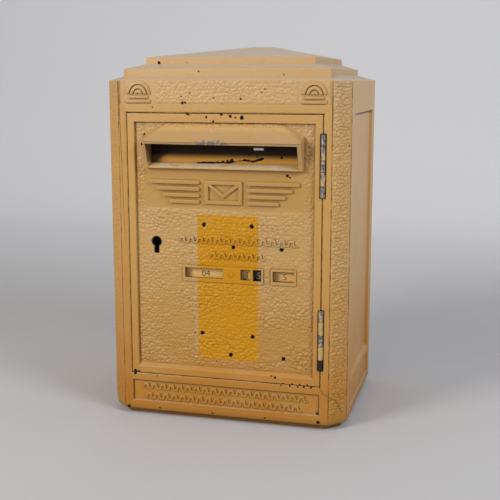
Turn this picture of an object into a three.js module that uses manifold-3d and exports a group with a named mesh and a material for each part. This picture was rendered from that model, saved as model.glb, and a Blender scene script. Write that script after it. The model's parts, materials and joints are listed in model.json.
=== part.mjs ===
// A cast aluminium wall mailbox with a stepped roof, a hinged front door, a hooded letter slot with a swinging
// flap, a lever lock and a row of indicator drums behind small windows. Millimetres, +Z up, +X to the right
// when facing the door. Every shape below is drawn in casting coordinates: x = 0 on the centre line, y = 0 on
// the front face with +y towards the wall, z = 0 at the lower edge of the body. The last group moves all of it
// so that the origin is at the bottom centre of the whole box.
import * as THREE from "three";
import { mergeVertices } from "three/addons/utils/BufferGeometryUtils.js";
import Module from "manifold-3d";

const wasm = await Module();
wasm.setup();

// ---- Driving dimensions ----------------------------------------------------------------------------------
const WIDTH = 400;
const DEPTH = 288;
const WALL_HEIGHT = 545; // top of the vertical walls
const CORNER_CUT = 27; // 45 degree front corners
const LOWER_CORNER = { radius: 26, rise: 13, facets: 3 }; // rounding at the lower ends of the cut corners
const WALL = 6; // thickness of the casting
const FOOT_HEIGHT = 10; // floor plate below the body edge
const FOOT_INSET = 12;
const HOOD_PROJECTION = 18; // letter hood in front of the front face

const HALF = WIDTH / 2;
const INNER_HALF = HALF - WALL;
const SKIN = 0.3; // gap kept between separate pieces that touch

// Roof: two hipped treads, two risers and a low pyramid, all flush with the wall at the back.
const TREAD_SLOPE = 0.28;
const TREAD_RUN = 35; // how far each hipped tread is carried inwards under the next step
const STEPS = [
  { half: 168.5, front: 14.5, top: 563.5, cavityHalf: 160, cavityTop: 556 },
  { half: 139.3, front: 38.4, top: 582, cavityHalf: 131, cavityTop: 574 },
];
const APEX = { half: 16, front: 262, top: 604.5 };
const ROOF_FRONT_WALL = 8;
const ROOF_REAR_WALL = 7;

// Door opening and door
const OPENING = { half: 161.2, low: 62, high: 496.2 };
const STOP = { half: 148, low: 75, high: 483, front: 25.5, back: 30 };
const JAMB = 7;
const DOOR = { half: 159, low: 64.2, high: 494, flangeDepth: 24, rim: 7 };
const PANEL = { half: 147.6, low: 75, high: 480.5, floor: 5.6, back: 11, bevel: 6 };

// Shallow panels on the outside of the body
const SIDE_PANEL = { front: 58, back: 262, low: 61, high: 494, depth: 5, ledge: 7 };
const SIDE_BASE_PANEL = { low: 14, high: 50, depth: 2 };
const FRONT_BASE_PANEL = { half: 159, low: 15, high: 50.4, depth: 3 };
const FRIEZE = { half: 171.5, low: 508.7, depth: 2 };

// Letter slot
const SLOT = { half: 122.5, low: 415.5, high: 446.5 };
const HOOD = { half: 129.5, top: 480, lipHigh: 451, lipLow: 446.5, shoulder: 460, fullHalf: 90 };
const SILL = { low: 407.5, nose: 410.5, front: -3.5 };
const FLAP = { half: 125, low: 410, front: 14, back: 16, axisZ: 455, knuckle: 3.5, rod: 2 };
const FLAP_LUG = { inner: 127, outer: 133, low: 449, high: 461, back: 19.5 };

// Hinges
const HINGE_AXIS = { x: 160.1, y: 0 };
const KNUCKLES = [17, 22, 18, 22, 17]; // from the bottom; the odd ones belong to the body leaf
const HINGE_LENGTH = KNUCKLES.reduce((sum, length) => sum + length, 0);
const HINGE_LOW = { upper: 368, lower: 92 };
const BARREL = 3.8;
const PIN = 2;
const LEAF = { thickness: 2.2, front: 5.2, back: 23.5, gap: 1.2 };
const HINGE_POCKET_END = 1.6; // room above and below a hinge for the flat heads of its pin
const PIN_HEAD = { rise: 1, radius: 3.2 };

// Lock
const KEYHOLE = { x: -114, z: 287.3, radius: 7.5, tail: 3.2, low: 268.5 };
const LOCK = { left: -145.5, right: -87, low: 259, high: 326, front: 11.3, back: 29, wall: 2.5, cover: 2 };
const BOLT = { tip: -158.5, tail: -104.5, low: 297, high: 313, front: 15, back: 21, travel: 11.5 };
const LEVER = { left: -138, right: -91, low: 299.5, high: 314, front: 21.6, back: 23.6, pinX: -97, pinZ: 306.5 };
const STRIKE = { low: 278, high: 332, front: 5, back: 25, thickness: 1.5 };

// Collection indicator: drums on one axle behind the windows of the door
const WINDOWS = [
  { left: -65.2, right: -1.4, low: 230.6, high: 247 },
  { left: 28.1, right: 44.3, low: 230.3, high: 247.4 },
  { left: 48.3, right: 62.1, low: 229.6, high: 248 },
  { left: 81, right: 115.8, low: 230.2, high: 247 },
];
const DRUMS = [
  { name: "day_drum", left: -68, right: 1.5, sides: 8 },
  { name: "hour_tens_drum", left: 26, right: 45.9, sides: 10 },
  { name: "hour_units_drum", left: 46.6, right: 64.5, sides: 10 },
  { name: "minute_drum", left: 78, right: 119, sides: 10 },
];
const WINDOW_FRAMES = [
  { left: -69.4, right: 65.5, low: 224.2, high: 250.3 },
  { left: 77.5, right: 119, low: 224.8, high: 250.3 },
];
const FRAME_RISE = 2.4;
const DRUM_FLAT = 20.9; // from the axle to a flat of a drum
const AXLE = { y: 35.6, z: 236.7, radius: 3, left: -80, right: 130 };
const DRUM_HUB = { radius: 14, depth: 5 }; // hollow in the left end of each drum
const BRACKET = { left: -76, right: 125.5, sheet: 2.5, low: 220.5, high: 252.5, foot: 14, back: 63 };
const BRACKET_BAR = { low: 225.5, high: 247.5 };
const BRACKET_SCREW_OUT = 8; // from a cheek of the bracket to its screw
const CLIP = { radius: 6, near: 0.4, far: 1.6 }; // rings on the axle, outside the bracket
const PANE = { left: -72, right: 122, low: 223.5, high: 250.5, front: 11.3, thickness: 1.2 };
const COMB = { front: 22, thickness: 0.8, low: 229.5, high: 260.6, screwX: [10, 71], screwRise: 5 };

// Back plate and floor plate
const BACK_PLATE = { half: 193.4, low: 6.4, high: 538.4, thickness: 3.5 };
const BACK_SCREWS = { x: 184, low: 34, high: 512 };
const WALL_HOLES = { x: 120, keyholeZ: 496, keyholeRadius: 7, slotRadius: 3.5, slotRise: 14 };
const LOWER_WALL_HOLES = { z: 60, radius: 4.5 };
const BOTTOM_FLANGE = { half: 150, front: 40, back: 250, thickness: 6 };
const FLOOR_SCREWS = { x: 168, front: 50, back: 240 };
const DRAIN = { x: 100, front: 90, back: 200, radius: 4 };

// Relic holes of two plates that were once screwed to the door
const DRILLED_RADIUS = 2.4;
const DRILLED = [
  [-33, 318], [46.5, 318], [16, 283], [95, 282.5], [-37, 138.5], [48, 137.7], [11.4, 104.6], [99.4, 104.5],
];

// ---- Solids ----------------------------------------------------------------------------------------------
function solid(geometry) {
  const bare = geometry.index ? geometry.toNonIndexed() : geometry.clone();
  bare.deleteAttribute("normal");
  bare.deleteAttribute("uv");
  const merged = mergeVertices(bare, 1e-4);
  return new wasm.Manifold(
    new wasm.Mesh({
      numProp: 3,
      vertProperties: merged.attributes.position.array,
      triVerts: new Uint32Array(merged.index.array),
    }),
  );
}

function geometryOf(body) {
  const mesh = body.getMesh();
  const points = new Float32Array(mesh.numVert * 3);
  for (let i = 0; i < mesh.numVert; i++) {
    points.set(mesh.vertProperties.subarray(i * mesh.numProp, i * mesh.numProp + 3), i * 3);
  }
  const geometry = new THREE.BufferGeometry();
  geometry.setAttribute("position", new THREE.BufferAttribute(points, 3));
  geometry.setIndex(new THREE.BufferAttribute(mesh.triVerts, 1));
  const faceted = geometry.toNonIndexed();
  faceted.computeVertexNormals();
  return faceted;
}

function box(x0, x1, y0, y1, z0, z1) {
  const geometry = new THREE.BoxGeometry(x1 - x0, y1 - y0, z1 - z0);
  geometry.translate((x0 + x1) / 2, (y0 + y1) / 2, (z0 + z1) / 2);
  return solid(geometry);
}

function shapeOf(points) {
  return new THREE.Shape(points.map(([a, b]) => new THREE.Vector2(a, b)));
}

function extruded(shape, depth) {
  return new THREE.ExtrudeGeometry(shape, { depth, bevelEnabled: false, curveSegments: 6 });
}

// An outline in (x, y) carried along z, one in (y, z) carried along x, and one in (x, z) carried along y.
function prismZ(points, z0, z1) {
  return solid(extruded(shapeOf(points), z1 - z0).translate(0, 0, z0));
}

function prismX(points, x0, x1) {
  const turn = new THREE.Matrix4().set(0, 0, 1, 0, 1, 0, 0, 0, 0, 1, 0, 0, 0, 0, 0, 1);
  return solid(extruded(shapeOf(points), x1 - x0).applyMatrix4(turn).translate(x0, 0, 0));
}

function prismY(outline, y0, y1) {
  const shape = outline instanceof THREE.Shape ? outline : shapeOf(outline);
  return solid(extruded(shape, y1 - y0).rotateX(Math.PI / 2).translate(0, y1, 0));
}

// A cone or cylinder from one point to another along x, y or z.
function rod(axis, at, from, to, radiusFrom, radiusTo = radiusFrom, segments = 12) {
  const geometry = new THREE.CylinderGeometry(radiusTo, radiusFrom, to - from, segments);
  geometry.translate(0, (from + to) / 2, 0);
  if (axis === "x") geometry.rotateZ(-Math.PI / 2).translate(0, at[0], at[1]);
  if (axis === "y") geometry.translate(at[0], 0, at[1]);
  if (axis === "z") geometry.rotateX(Math.PI / 2).translate(at[0], at[1], 0);
  return solid(geometry);
}

// A solid between two outlines with the same number of points, at two heights.
function frustum(lower, upper, z0, z1) {
  const count = lower.length;
  const points = [...lower.map(([x, y]) => [x, y, z0]), ...upper.map(([x, y]) => [x, y, z1])];
  const faces = [];
  for (let i = 0; i < count; i++) {
    const next = (i + 1) % count;
    faces.push([i, next, count + next], [i, count + next, count + i]);
    if (i > 0 && i < count - 1) {
      faces.push([0, i + 1, i], [count, count + i, count + i + 1]);
    }
  }
  const geometry = new THREE.BufferGeometry();
  geometry.setAttribute("position", new THREE.Float32BufferAttribute(points.flat(), 3));
  geometry.setIndex(faces.flat());
  return solid(geometry);
}

function union(...bodies) {
  return bodies.reduce((all, body) => all.add(body));
}

function cut(body, ...tools) {
  return tools.reduce((left, tool) => left.subtract(tool), body);
}

// A tube along x with a wall between two radii.
function collar(x0, x1, at, outer, inner) {
  return cut(rod("x", at, x0, x1, outer), rod("x", at, x0 - 1, x1 + 1, inner));
}

// Countersunk screws: the head's wide end is at "face" and the screw runs from there in the direction "way".
const SCREW = { shank: 1.8, head: 3.6, cone: 2.2, segments: 8 };

function screwShape(axis, at, face, way, length, gap) {
  const shank = SCREW.shank + gap;
  const slope = (SCREW.head - SCREW.shank) / SCREW.cone;
  const wideAt = face - way * 2 * gap;
  const wide = SCREW.head + gap + slope * 2 * gap;
  const narrowAt = face + way * SCREW.cone;
  const end = face + way * (length + 2 * gap);
  const cone =
    way > 0
      ? rod(axis, at, wideAt, narrowAt, wide, shank, SCREW.segments)
      : rod(axis, at, narrowAt, wideAt, shank, wide, SCREW.segments);
  const low = Math.min(narrowAt - way * 0.5, end);
  const high = Math.max(narrowAt - way * 0.5, end);
  return union(cone, rod(axis, at, low, high, shank, shank, SCREW.segments));
}

function screwSolid(axis, at, face, way, length) {
  return screwShape(axis, at, face, way, length, 0);
}

function screwHole(axis, at, face, way, length) {
  return screwShape(axis, at, face, way, length, SKIN);
}

// ---- The scene -------------------------------------------------------------------------------------------
const PAINT = new THREE.MeshStandardMaterial({ color: 0xc69c5d, roughness: 0.6, metalness: 0 });
const STEEL = new THREE.MeshStandardMaterial({ color: 0x8a8782, roughness: 0.45, metalness: 0.9 });
const ZINC = new THREE.MeshStandardMaterial({ color: 0xa7a9a8, roughness: 0.5, metalness: 0.8 });
const BRASS = new THREE.MeshStandardMaterial({ color: 0xa88a4a, roughness: 0.4, metalness: 0.9 });
const PLATE = new THREE.MeshStandardMaterial({ color: 0x8d8a80, roughness: 0.6, metalness: 0.5 });
const IVORY = new THREE.MeshStandardMaterial({ color: 0xd8c48c, roughness: 0.5, metalness: 0 });
const GLASS = new THREE.MeshStandardMaterial({ color: 0xe6ecea, roughness: 0.1, transparent: true, opacity: 0.35 });

const mailbox = new THREE.Group();
mailbox.position.set(0, -(DEPTH - HOOD_PROJECTION) / 2, FOOT_HEIGHT);

function addNode(name, body, material) {
  const mesh = new THREE.Mesh(geometryOf(body), material);
  mesh.name = name;
  mailbox.add(mesh);
}

// ---- Body ------------------------------------------------------------------------------------------------
// Plan outline of the walls moved inwards by a distance; the back stays where it is told.
function wallOutline(inset, back) {
  const corner = CORNER_CUT - inset * (2 - Math.SQRT2);
  const half = HALF - inset;
  return [
    [-half, back],
    [-half, inset + corner],
    [-half + corner, inset],
    [half - corner, inset],
    [half, inset + corner],
    [half, back],
  ];
}

function stepOutline(half, front) {
  return [[-half, DEPTH], [-half, front], [half, front], [half, DEPTH]];
}

function roof() {
  const [first, second] = STEPS;
  const rise = TREAD_RUN * TREAD_SLOPE;
  const treadOne = frustum(wallOutline(0, DEPTH), wallOutline(TREAD_RUN, DEPTH), WALL_HEIGHT, WALL_HEIGHT + rise);
  const stepOne = prismZ(stepOutline(first.half, first.front), WALL_HEIGHT - 1, first.top);
  const treadTwo = frustum(
    stepOutline(first.half, first.front),
    stepOutline(first.half - TREAD_RUN, first.front + TREAD_RUN),
    first.top,
    first.top + rise,
  );
  const stepTwo = prismZ(stepOutline(second.half, second.front), first.top - 1, second.top);
  const pyramid = frustum(
    stepOutline(second.half, second.front),
    stepOutline(APEX.half, APEX.front),
    second.top,
    APEX.top,
  );
  return union(treadOne, stepOne, treadTwo, stepTwo, pyramid);
}

function cavity() {
  const room = prismZ(wallOutline(WALL, DEPTH + 1), BOTTOM_FLANGE.thickness, WALL_HEIGHT - WALL);
  const roofRooms = STEPS.map(({ front, cavityHalf, cavityTop }) =>
    box(-cavityHalf, cavityHalf, front + ROOF_FRONT_WALL, DEPTH - ROOF_REAR_WALL, WALL_HEIGHT - 10, cavityTop),
  );
  const { half, front, back } = BOTTOM_FLANGE;
  const bottom = box(-half, half, front, back, -1, WALL + 1);
  return union(room, ...roofRooms, bottom);
}

// The frame that the door closes into: a jamb all round with a stop lip behind the door.
function doorFrame() {
  const half = OPENING.half + JAMB;
  return box(-half, half, 1, STOP.back, OPENING.low - JAMB, OPENING.high + JAMB);
}

function doorOpening() {
  return union(
    box(-OPENING.half, OPENING.half, -1, STOP.front, OPENING.low, OPENING.high),
    box(-STOP.half, STOP.half, 1, STOP.back + 1, STOP.low, STOP.high),
  );
}

function sidePanels(side) {
  const outside = side * (HALF + 1);
  const floor = side * (HALF - SIDE_PANEL.depth);
  const ledgeLow = SIDE_PANEL.low - SIDE_PANEL.ledge / SIDE_PANEL.depth;
  const ledgeHigh = SIDE_PANEL.low + SIDE_PANEL.ledge;
  const upper = prismY(
    [[outside, ledgeLow], [floor, ledgeHigh], [floor, SIDE_PANEL.high], [outside, SIDE_PANEL.high]],
    SIDE_PANEL.front,
    SIDE_PANEL.back,
  );
  const baseFloor = side * (HALF - SIDE_BASE_PANEL.depth);
  const lower = box(
    Math.min(baseFloor, outside), Math.max(baseFloor, outside),
    SIDE_PANEL.front, SIDE_PANEL.back, SIDE_BASE_PANEL.low, SIDE_BASE_PANEL.high,
  );
  return union(upper, lower);
}

function frontPanels() {
  const { half, low, high, depth } = FRONT_BASE_PANEL;
  const base = box(-half, half, -1, depth, low, high);
  const frieze = box(-FRIEZE.half, FRIEZE.half, -1, FRIEZE.depth, FRIEZE.low, WALL_HEIGHT + 8);
  return union(base, frieze);
}

function backBosses() {
  const back = DEPTH - BACK_PLATE.thickness - SKIN;
  const bosses = [];
  for (const side of [-1, 1]) {
    for (const z of [BACK_SCREWS.low, BACK_SCREWS.high]) {
      const inner = side * (BACK_SCREWS.x - 9);
      const outer = side * (INNER_HALF + 1);
      bosses.push(box(Math.min(inner, outer), Math.max(inner, outer), back - 22, back, z - 9, z + 9));
    }
  }
  return union(...bosses);
}

// The lower end of the edge between a cut corner and a side wall is rounded in plan, less and less up to a
// height where the edge is sharp. Each cut leaves one facet of that rounding.
function lowerCornerCuts(side) {
  const { radius, rise, facets } = LOWER_CORNER;
  const turn = Math.PI / 4;
  const tangent = radius * Math.tan(turn / 2);
  const centre = [HALF - radius, CORNER_CUT + tangent];
  const top = new THREE.Vector3(side * HALF, CORNER_CUT, rise);
  const cuts = [];
  for (let i = 0; i < facets; i++) {
    const [a, b] = [i, i + 1].map((step) => {
      const angle = (-turn * step) / facets;
      const x = centre[0] + radius * Math.cos(angle);
      return new THREE.Vector3(side * x, centre[1] + radius * Math.sin(angle), 0);
    });
    const normal = new THREE.Plane().setFromCoplanarPoints(top, side > 0 ? a : b, side > 0 ? b : a).normal;
    if (normal.x * side < 0) normal.negate();
    const block = new THREE.BoxGeometry(50, 50, 20).translate(0, 0, 10);
    block.applyQuaternion(new THREE.Quaternion().setFromUnitVectors(new THREE.Vector3(0, 0, 1), normal));
    cuts.push(solid(block.translate(top.x, top.y, top.z)));
  }
  return cuts;
}

function bodyCasting() {
  const blank = union(prismZ(wallOutline(0, DEPTH), 0, WALL_HEIGHT), roof());
  const outside = cut(blank, ...lowerCornerCuts(-1), ...lowerCornerCuts(1));
  const hollow = cut(outside, cavity());
  const framed = union(hollow, doorFrame(), backBosses());
  const opened = cut(framed, doorOpening(), sidePanels(-1), sidePanels(1), frontPanels());
  const screwHoles = [...backScrews(screwHole), ...floorScrews(screwHole), ...leafScrewTools("body")];
  return cut(opened, ...hingePockets(), ...strikeSeat(), ...screwHoles);
}

// ---- Hinges ----------------------------------------------------------------------------------------------
// Rooms in the jamb and in the door edge for the barrels and for the leaves beside them.
function hingePocket(low, side) {
  const high = low + HINGE_LENGTH + HINGE_POCKET_END;
  const face = side === "body" ? OPENING.half : DOOR.half;
  const sign = side === "body" ? 1 : -1;
  const deep = HINGE_AXIS.x + sign * (BARREL + 1.1);
  const leafFace = leafOuter(side) + sign * SKIN;
  const start = face - sign;
  const bottom = low - HINGE_POCKET_END;
  return union(
    box(Math.min(start, deep), Math.max(start, deep), -1, BARREL + 1.2, bottom, high),
    box(Math.min(start, leafFace), Math.max(start, leafFace), 4, LEAF.back + 1, bottom, high),
  );
}

function hingePockets() {
  return Object.values(HINGE_LOW).map((low) => hingePocket(low, "body"));
}

// x of the leaf face that lies against its casting.
function leafOuter(side) {
  const sign = side === "body" ? 1 : -1;
  return HINGE_AXIS.x + sign * (LEAF.gap + LEAF.thickness);
}

function leaf(low, side) {
  const sign = side === "body" ? 1 : -1;
  const inner = HINGE_AXIS.x + sign * LEAF.gap;
  const outer = leafOuter(side);
  const x0 = Math.min(inner, outer);
  const x1 = Math.max(inner, outer);
  let z = low;
  const knuckles = [];
  KNUCKLES.forEach((length, index) => {
    const owner = index % 2 === 0 ? "body" : "door";
    if (owner === side) {
      const z0 = z + SKIN / 2;
      const z1 = z + length - SKIN / 2;
      knuckles.push(rod("z", [HINGE_AXIS.x, HINGE_AXIS.y], z0, z1, BARREL));
      knuckles.push(box(x0, x1, 2, LEAF.front + 1, z0, z1));
    }
    z += length;
  });
  const plate = box(x0, x1, LEAF.front, LEAF.back, low + SKIN, low + HINGE_LENGTH - SKIN);
  const bore = rod("z", [HINGE_AXIS.x, HINGE_AXIS.y], low - 1, low + HINGE_LENGTH + 1, PIN + SKIN);
  return cut(union(plate, ...knuckles), bore, ...leafScrews(low, side, screwHole));
}

// Two countersunk screws through each leaf, with their heads towards the other leaf.
function leafScrews(low, side, make) {
  const sign = side === "body" ? 1 : -1;
  const face = HINGE_AXIS.x + sign * LEAF.gap;
  const y = (LEAF.front + LEAF.back) / 2 + 1;
  return [0.2, 0.8].map((part) => make("x", [y, low + part * HINGE_LENGTH], face, sign, 6));
}

function leafScrewTools(side) {
  return Object.values(HINGE_LOW).flatMap((low) => leafScrews(low, side, screwHole));
}

function hingePin(low) {
  const high = low + HINGE_LENGTH;
  const at = [HINGE_AXIS.x, HINGE_AXIS.y];
  return union(
    rod("z", at, low - PIN_HEAD.rise, high + PIN_HEAD.rise, PIN),
    rod("z", at, low - PIN_HEAD.rise, low - SKIN, PIN_HEAD.radius),
    rod("z", at, high + SKIN, high + PIN_HEAD.rise, PIN_HEAD.radius),
  );
}

function addHinges() {
  for (const [name, low] of Object.entries(HINGE_LOW)) {
    addNode(`${name}_hinge_body_leaf`, leaf(low, "body"), STEEL);
    addNode(`${name}_hinge_door_leaf`, leaf(low, "door"), STEEL);
    addNode(`${name}_hinge_pin`, hingePin(low), STEEL);
    for (const side of ["body", "door"]) {
      leafScrews(low, side, screwSolid).forEach((body, index) => {
        addNode(`${name}_${side}_leaf_screw_${index + 1}`, body, ZINC);
      });
    }
  }
}

// ---- Strike plate ----------------------------------------------------------------------------------------
const BOLT_PORT = 0.4; // clearance round the bolt

function boltPort(x0, x1) {
  return box(x0, x1, BOLT.front - BOLT_PORT, BOLT.back + BOLT_PORT, BOLT.low - BOLT_PORT, BOLT.high + BOLT_PORT);
}

function strikeScrews(make) {
  const face = -OPENING.half - SKIN;
  const y = (STRIKE.front + STRIKE.back) / 2;
  return [STRIKE.low + 8, STRIKE.high - 8].map((z) => make("x", [y, z], face, -1, 6));
}

function strikeSeat() {
  const seat = box(
    -OPENING.half - STRIKE.thickness - 2 * SKIN, -OPENING.half + 1,
    STRIKE.front - SKIN, STRIKE.back + SKIN, STRIKE.low - SKIN, STRIKE.high + SKIN,
  );
  return [seat, boltPort(-OPENING.half - JAMB - 6, -OPENING.half + 1), ...strikeScrews(screwHole)];
}

function strikePlate() {
  const face = -OPENING.half - SKIN;
  const plate = box(face - STRIKE.thickness, face, STRIKE.front, STRIKE.back, STRIKE.low, STRIKE.high);
  return cut(plate, boltPort(face - 5, face + 1), ...strikeScrews(screwHole));
}

// ---- Back plate ------------------------------------------------------------------------------------------
function backScrews(make) {
  const made = [];
  for (const z of [BACK_SCREWS.low, BACK_SCREWS.high]) {
    for (const side of [-1, 1]) {
      made.push(make("y", [side * BACK_SCREWS.x, z], DEPTH - 0.2, -1, 16));
    }
  }
  return made;
}

function wallKeyhole(x) {
  const { keyholeZ, keyholeRadius, slotRadius, slotRise } = WALL_HOLES;
  const y0 = DEPTH - BACK_PLATE.thickness - 1;
  return union(
    rod("y", [x, keyholeZ], y0, DEPTH + 1, keyholeRadius),
    box(x - slotRadius, x + slotRadius, y0, DEPTH + 1, keyholeZ, keyholeZ + slotRise),
    rod("y", [x, keyholeZ + slotRise], y0, DEPTH + 1, slotRadius),
  );
}

function backPlate() {
  const y0 = DEPTH - BACK_PLATE.thickness;
  const plate = box(-BACK_PLATE.half, BACK_PLATE.half, y0, DEPTH, BACK_PLATE.low, BACK_PLATE.high);
  const holes = [-WALL_HOLES.x, WALL_HOLES.x].flatMap((x) => [
    wallKeyhole(x),
    rod("y", [x, LOWER_WALL_HOLES.z], y0 - 1, DEPTH + 1, LOWER_WALL_HOLES.radius),
  ]);
  return cut(plate, ...holes, ...backScrews(screwHole));
}

// ---- Floor plate -----------------------------------------------------------------------------------------
function floorScrews(make) {
  const made = [];
  for (const y of [FLOOR_SCREWS.front, FLOOR_SCREWS.back]) {
    for (const side of [-1, 1]) {
      made.push(make("z", [side * FLOOR_SCREWS.x, y], -FOOT_HEIGHT + 0.2, 1, 14));
    }
  }
  return made;
}

function floorPlate() {
  const plate = prismZ(wallOutline(FOOT_INSET, DEPTH - FOOT_INSET), -FOOT_HEIGHT, -SKIN);
  const drains = [];
  for (const x of [-DRAIN.x, DRAIN.x]) {
    for (const y of [DRAIN.front, DRAIN.back]) {
      drains.push(rod("z", [x, y], -FOOT_HEIGHT - 1, 1, DRAIN.radius));
    }
  }
  return cut(plate, ...drains, ...floorScrews(screwHole));
}

// ---- Door ------------------------------------------------------------------------------------------------
function doorPanelRecess() {
  const { half, low, high, floor, bevel } = PANEL;
  const bevelStart = low - bevel / floor;
  return prismX([[-1, bevelStart], [-1, high], [floor, high], [floor, low + bevel]], -half, half);
}

// The part of a straight hood that is taken off above each end, so that it slopes down to the shoulder there.
function hoodEnd(side) {
  const shoulder = new THREE.Vector3(side * HOOD.half, PANEL.floor, HOOD.shoulder);
  const full = new THREE.Vector3(side * HOOD.fullHalf, PANEL.floor, HOOD.top);
  const lip = new THREE.Vector3(side * (HOOD.half + 0.5), -HOOD_PROJECTION, HOOD.lipHigh);
  const normal = new THREE.Plane().setFromCoplanarPoints(shoulder, full, lip).normal;
  if (normal.z < 0) normal.negate();
  const block = new THREE.BoxGeometry(90, 90, 40).translate(0, 0, 20);
  block.applyQuaternion(new THREE.Quaternion().setFromUnitVectors(new THREE.Vector3(0, 0, 1), normal));
  const above = solid(block.translate(shoulder.x, shoulder.y, shoulder.z));
  const inFront = box(-HOOD.half - 1, HOOD.half + 1, -HOOD_PROJECTION - 1, PANEL.floor, HOOD.lipHigh, HOOD.top + 5);
  return above.intersect(inFront);
}

function hood() {
  const slope = new THREE.QuadraticBezierCurve(
    new THREE.Vector2(PANEL.floor, HOOD.top),
    new THREE.Vector2(-HOOD_PROJECTION * 0.2, HOOD.top - 14),
    new THREE.Vector2(-HOOD_PROJECTION, HOOD.lipHigh),
  );
  const profile = [
    [PANEL.back - 1, HOOD.lipLow],
    [PANEL.back - 1, HOOD.top],
    ...slope.getPoints(5).map((point) => [point.x, point.y]),
    [-HOOD_PROJECTION, HOOD.lipLow],
  ];
  const roofOfSlot = cut(prismX(profile, -HOOD.half, HOOD.half), hoodEnd(-1), hoodEnd(1));
  const cheekProfile = [
    [PANEL.back - 1, SILL.low], [PANEL.back - 1, HOOD.lipLow + 1], [-HOOD_PROJECTION, HOOD.lipLow + 1],
    [-HOOD_PROJECTION, HOOD.lipLow], [SILL.front, SILL.low],
  ];
  const cheeks = [-1, 1].map((side) => {
    const inner = side * SLOT.half;
    const outer = side * HOOD.half;
    return prismX(cheekProfile, Math.min(inner, outer), Math.max(inner, outer));
  });
  const sillProfile = [
    [SILL.front, SILL.low], [PANEL.back - 1, SILL.low], [PANEL.back - 1, SLOT.low],
    [PANEL.floor, SLOT.low], [SILL.front, SILL.nose],
  ];
  const sill = prismX(sillProfile, -HOOD.half + 1, HOOD.half - 1);
  return union(roofOfSlot, ...cheeks, sill);
}

function flapLugs() {
  return [-1, 1].map((side) => {
    const inner = side * FLAP_LUG.inner;
    const outer = side * FLAP_LUG.outer;
    return box(
      Math.min(inner, outer), Math.max(inner, outer), PANEL.back - 1, FLAP_LUG.back, FLAP_LUG.low, FLAP_LUG.high,
    );
  });
}

function keyholeTool(y0, y1, gap = 0) {
  const { x, z, radius, tail, low } = KEYHOLE;
  return union(
    rod("y", [x, z], y0, y1, radius + gap, radius + gap, 16),
    box(x - tail - gap, x + tail + gap, y0, y1, low - gap, z),
  );
}

function windowFrames() {
  return WINDOW_FRAMES.map((frame) =>
    box(frame.left, frame.right, PANEL.floor - FRAME_RISE, PANEL.back - 1, frame.low, frame.high),
  );
}

function doorCasting() {
  const slab = box(-DOOR.half, DOOR.half, 0, DOOR.flangeDepth, DOOR.low, DOOR.high);
  const inner = DOOR.half - DOOR.rim;
  const pocket = box(-inner, inner, PANEL.back, DOOR.flangeDepth + 1, DOOR.low + DOOR.rim, DOOR.high - DOOR.rim);
  const shell = cut(slab, pocket, doorPanelRecess());
  const dressed = union(shell, hood(), ...windowFrames(), ...flapLugs());
  const slot = box(-SLOT.half, SLOT.half, PANEL.floor - 30, PANEL.back + 1, SLOT.low, SLOT.high);
  const windows = WINDOWS.map((w) => box(w.left, w.right, -1, PANEL.back + 1, w.low, w.high));
  const drilled = DRILLED.map((at) => rod("y", at, 1, PANEL.back + 1, DRILLED_RADIUS, DRILLED_RADIUS, 10));
  return cut(
    dressed,
    slot,
    keyholeTool(-1, PANEL.back + 1),
    ...windows,
    ...drilled,
    ...Object.values(HINGE_LOW).map((low) => hingePocket(low, "door")),
    ...leafScrewTools("door"),
    boltPort(-DOOR.half - 1, -DOOR.half + DOOR.rim + 1),
    rod("x", [flapAxis.y, flapAxis.z], -FLAP_LUG.outer - 1, FLAP_LUG.outer + 1, FLAP.rod + SKIN),
    ...lockScrewHoles(),
    ...bracketScrews(screwHole),
  );
}

// ---- Slot flap -------------------------------------------------------------------------------------------
const flapAxis = { y: (FLAP.front + FLAP.back) / 2, z: FLAP.axisZ };

function slotFlap() {
  const plate = box(-FLAP.half, FLAP.half, FLAP.front, FLAP.back, FLAP.low, FLAP.axisZ);
  const knuckle = rod("x", [flapAxis.y, flapAxis.z], -FLAP.half, FLAP.half, FLAP.knuckle);
  const bore = rod("x", [flapAxis.y, flapAxis.z], -FLAP.half - 1, FLAP.half + 1, FLAP.rod + SKIN);
  const lowerFold = box(-FLAP.half, FLAP.half, FLAP.front, FLAP.back + 3, FLAP.low, FLAP.low + 1.5);
  return cut(union(plate, knuckle, lowerFold), bore);
}

function flapRod() {
  const end = FLAP_LUG.outer + 2;
  return rod("x", [flapAxis.y, flapAxis.z], -end, end, FLAP.rod);
}

// ---- Lock ------------------------------------------------------------------------------------------------
const LOCK_SCREW_INSET = 5.5;
const LOCK_SCREW = { shank: 1.8, head: 3.6, headHeight: 2, tip: 7.8 };

function lockScrewPlaces() {
  const places = [];
  for (const x of [LOCK.left + LOCK_SCREW_INSET, LOCK.right - LOCK_SCREW_INSET]) {
    for (const z of [LOCK.low + LOCK_SCREW_INSET, LOCK.high - LOCK_SCREW_INSET]) {
      places.push([x, z]);
    }
  }
  return places;
}

function lockScrewHoles() {
  return lockScrewPlaces().map((at) => rod("y", at, LOCK_SCREW.tip - SKIN, LOCK.back + 8, LOCK_SCREW.shank + SKIN));
}

function lockCase() {
  const { left, right, low, high, front, back, wall } = LOCK;
  const outer = box(left, right, front, back, low, high);
  const inner = box(left + wall, right - wall, front + wall, back + 1, low + wall, high - wall);
  const posts = lockScrewPlaces().map(([x, z]) =>
    box(
      Math.max(left, x - LOCK_SCREW_INSET), Math.min(right, x + LOCK_SCREW_INSET), front, back,
      Math.max(low, z - LOCK_SCREW_INSET), Math.min(high, z + LOCK_SCREW_INSET),
    ),
  );
  return cut(
    union(cut(outer, inner), ...posts),
    keyholeTool(front - 1, front + wall + 1),
    boltPort(left - 1, left + wall + 1),
    ...lockScrewHoles(),
  );
}

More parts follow.
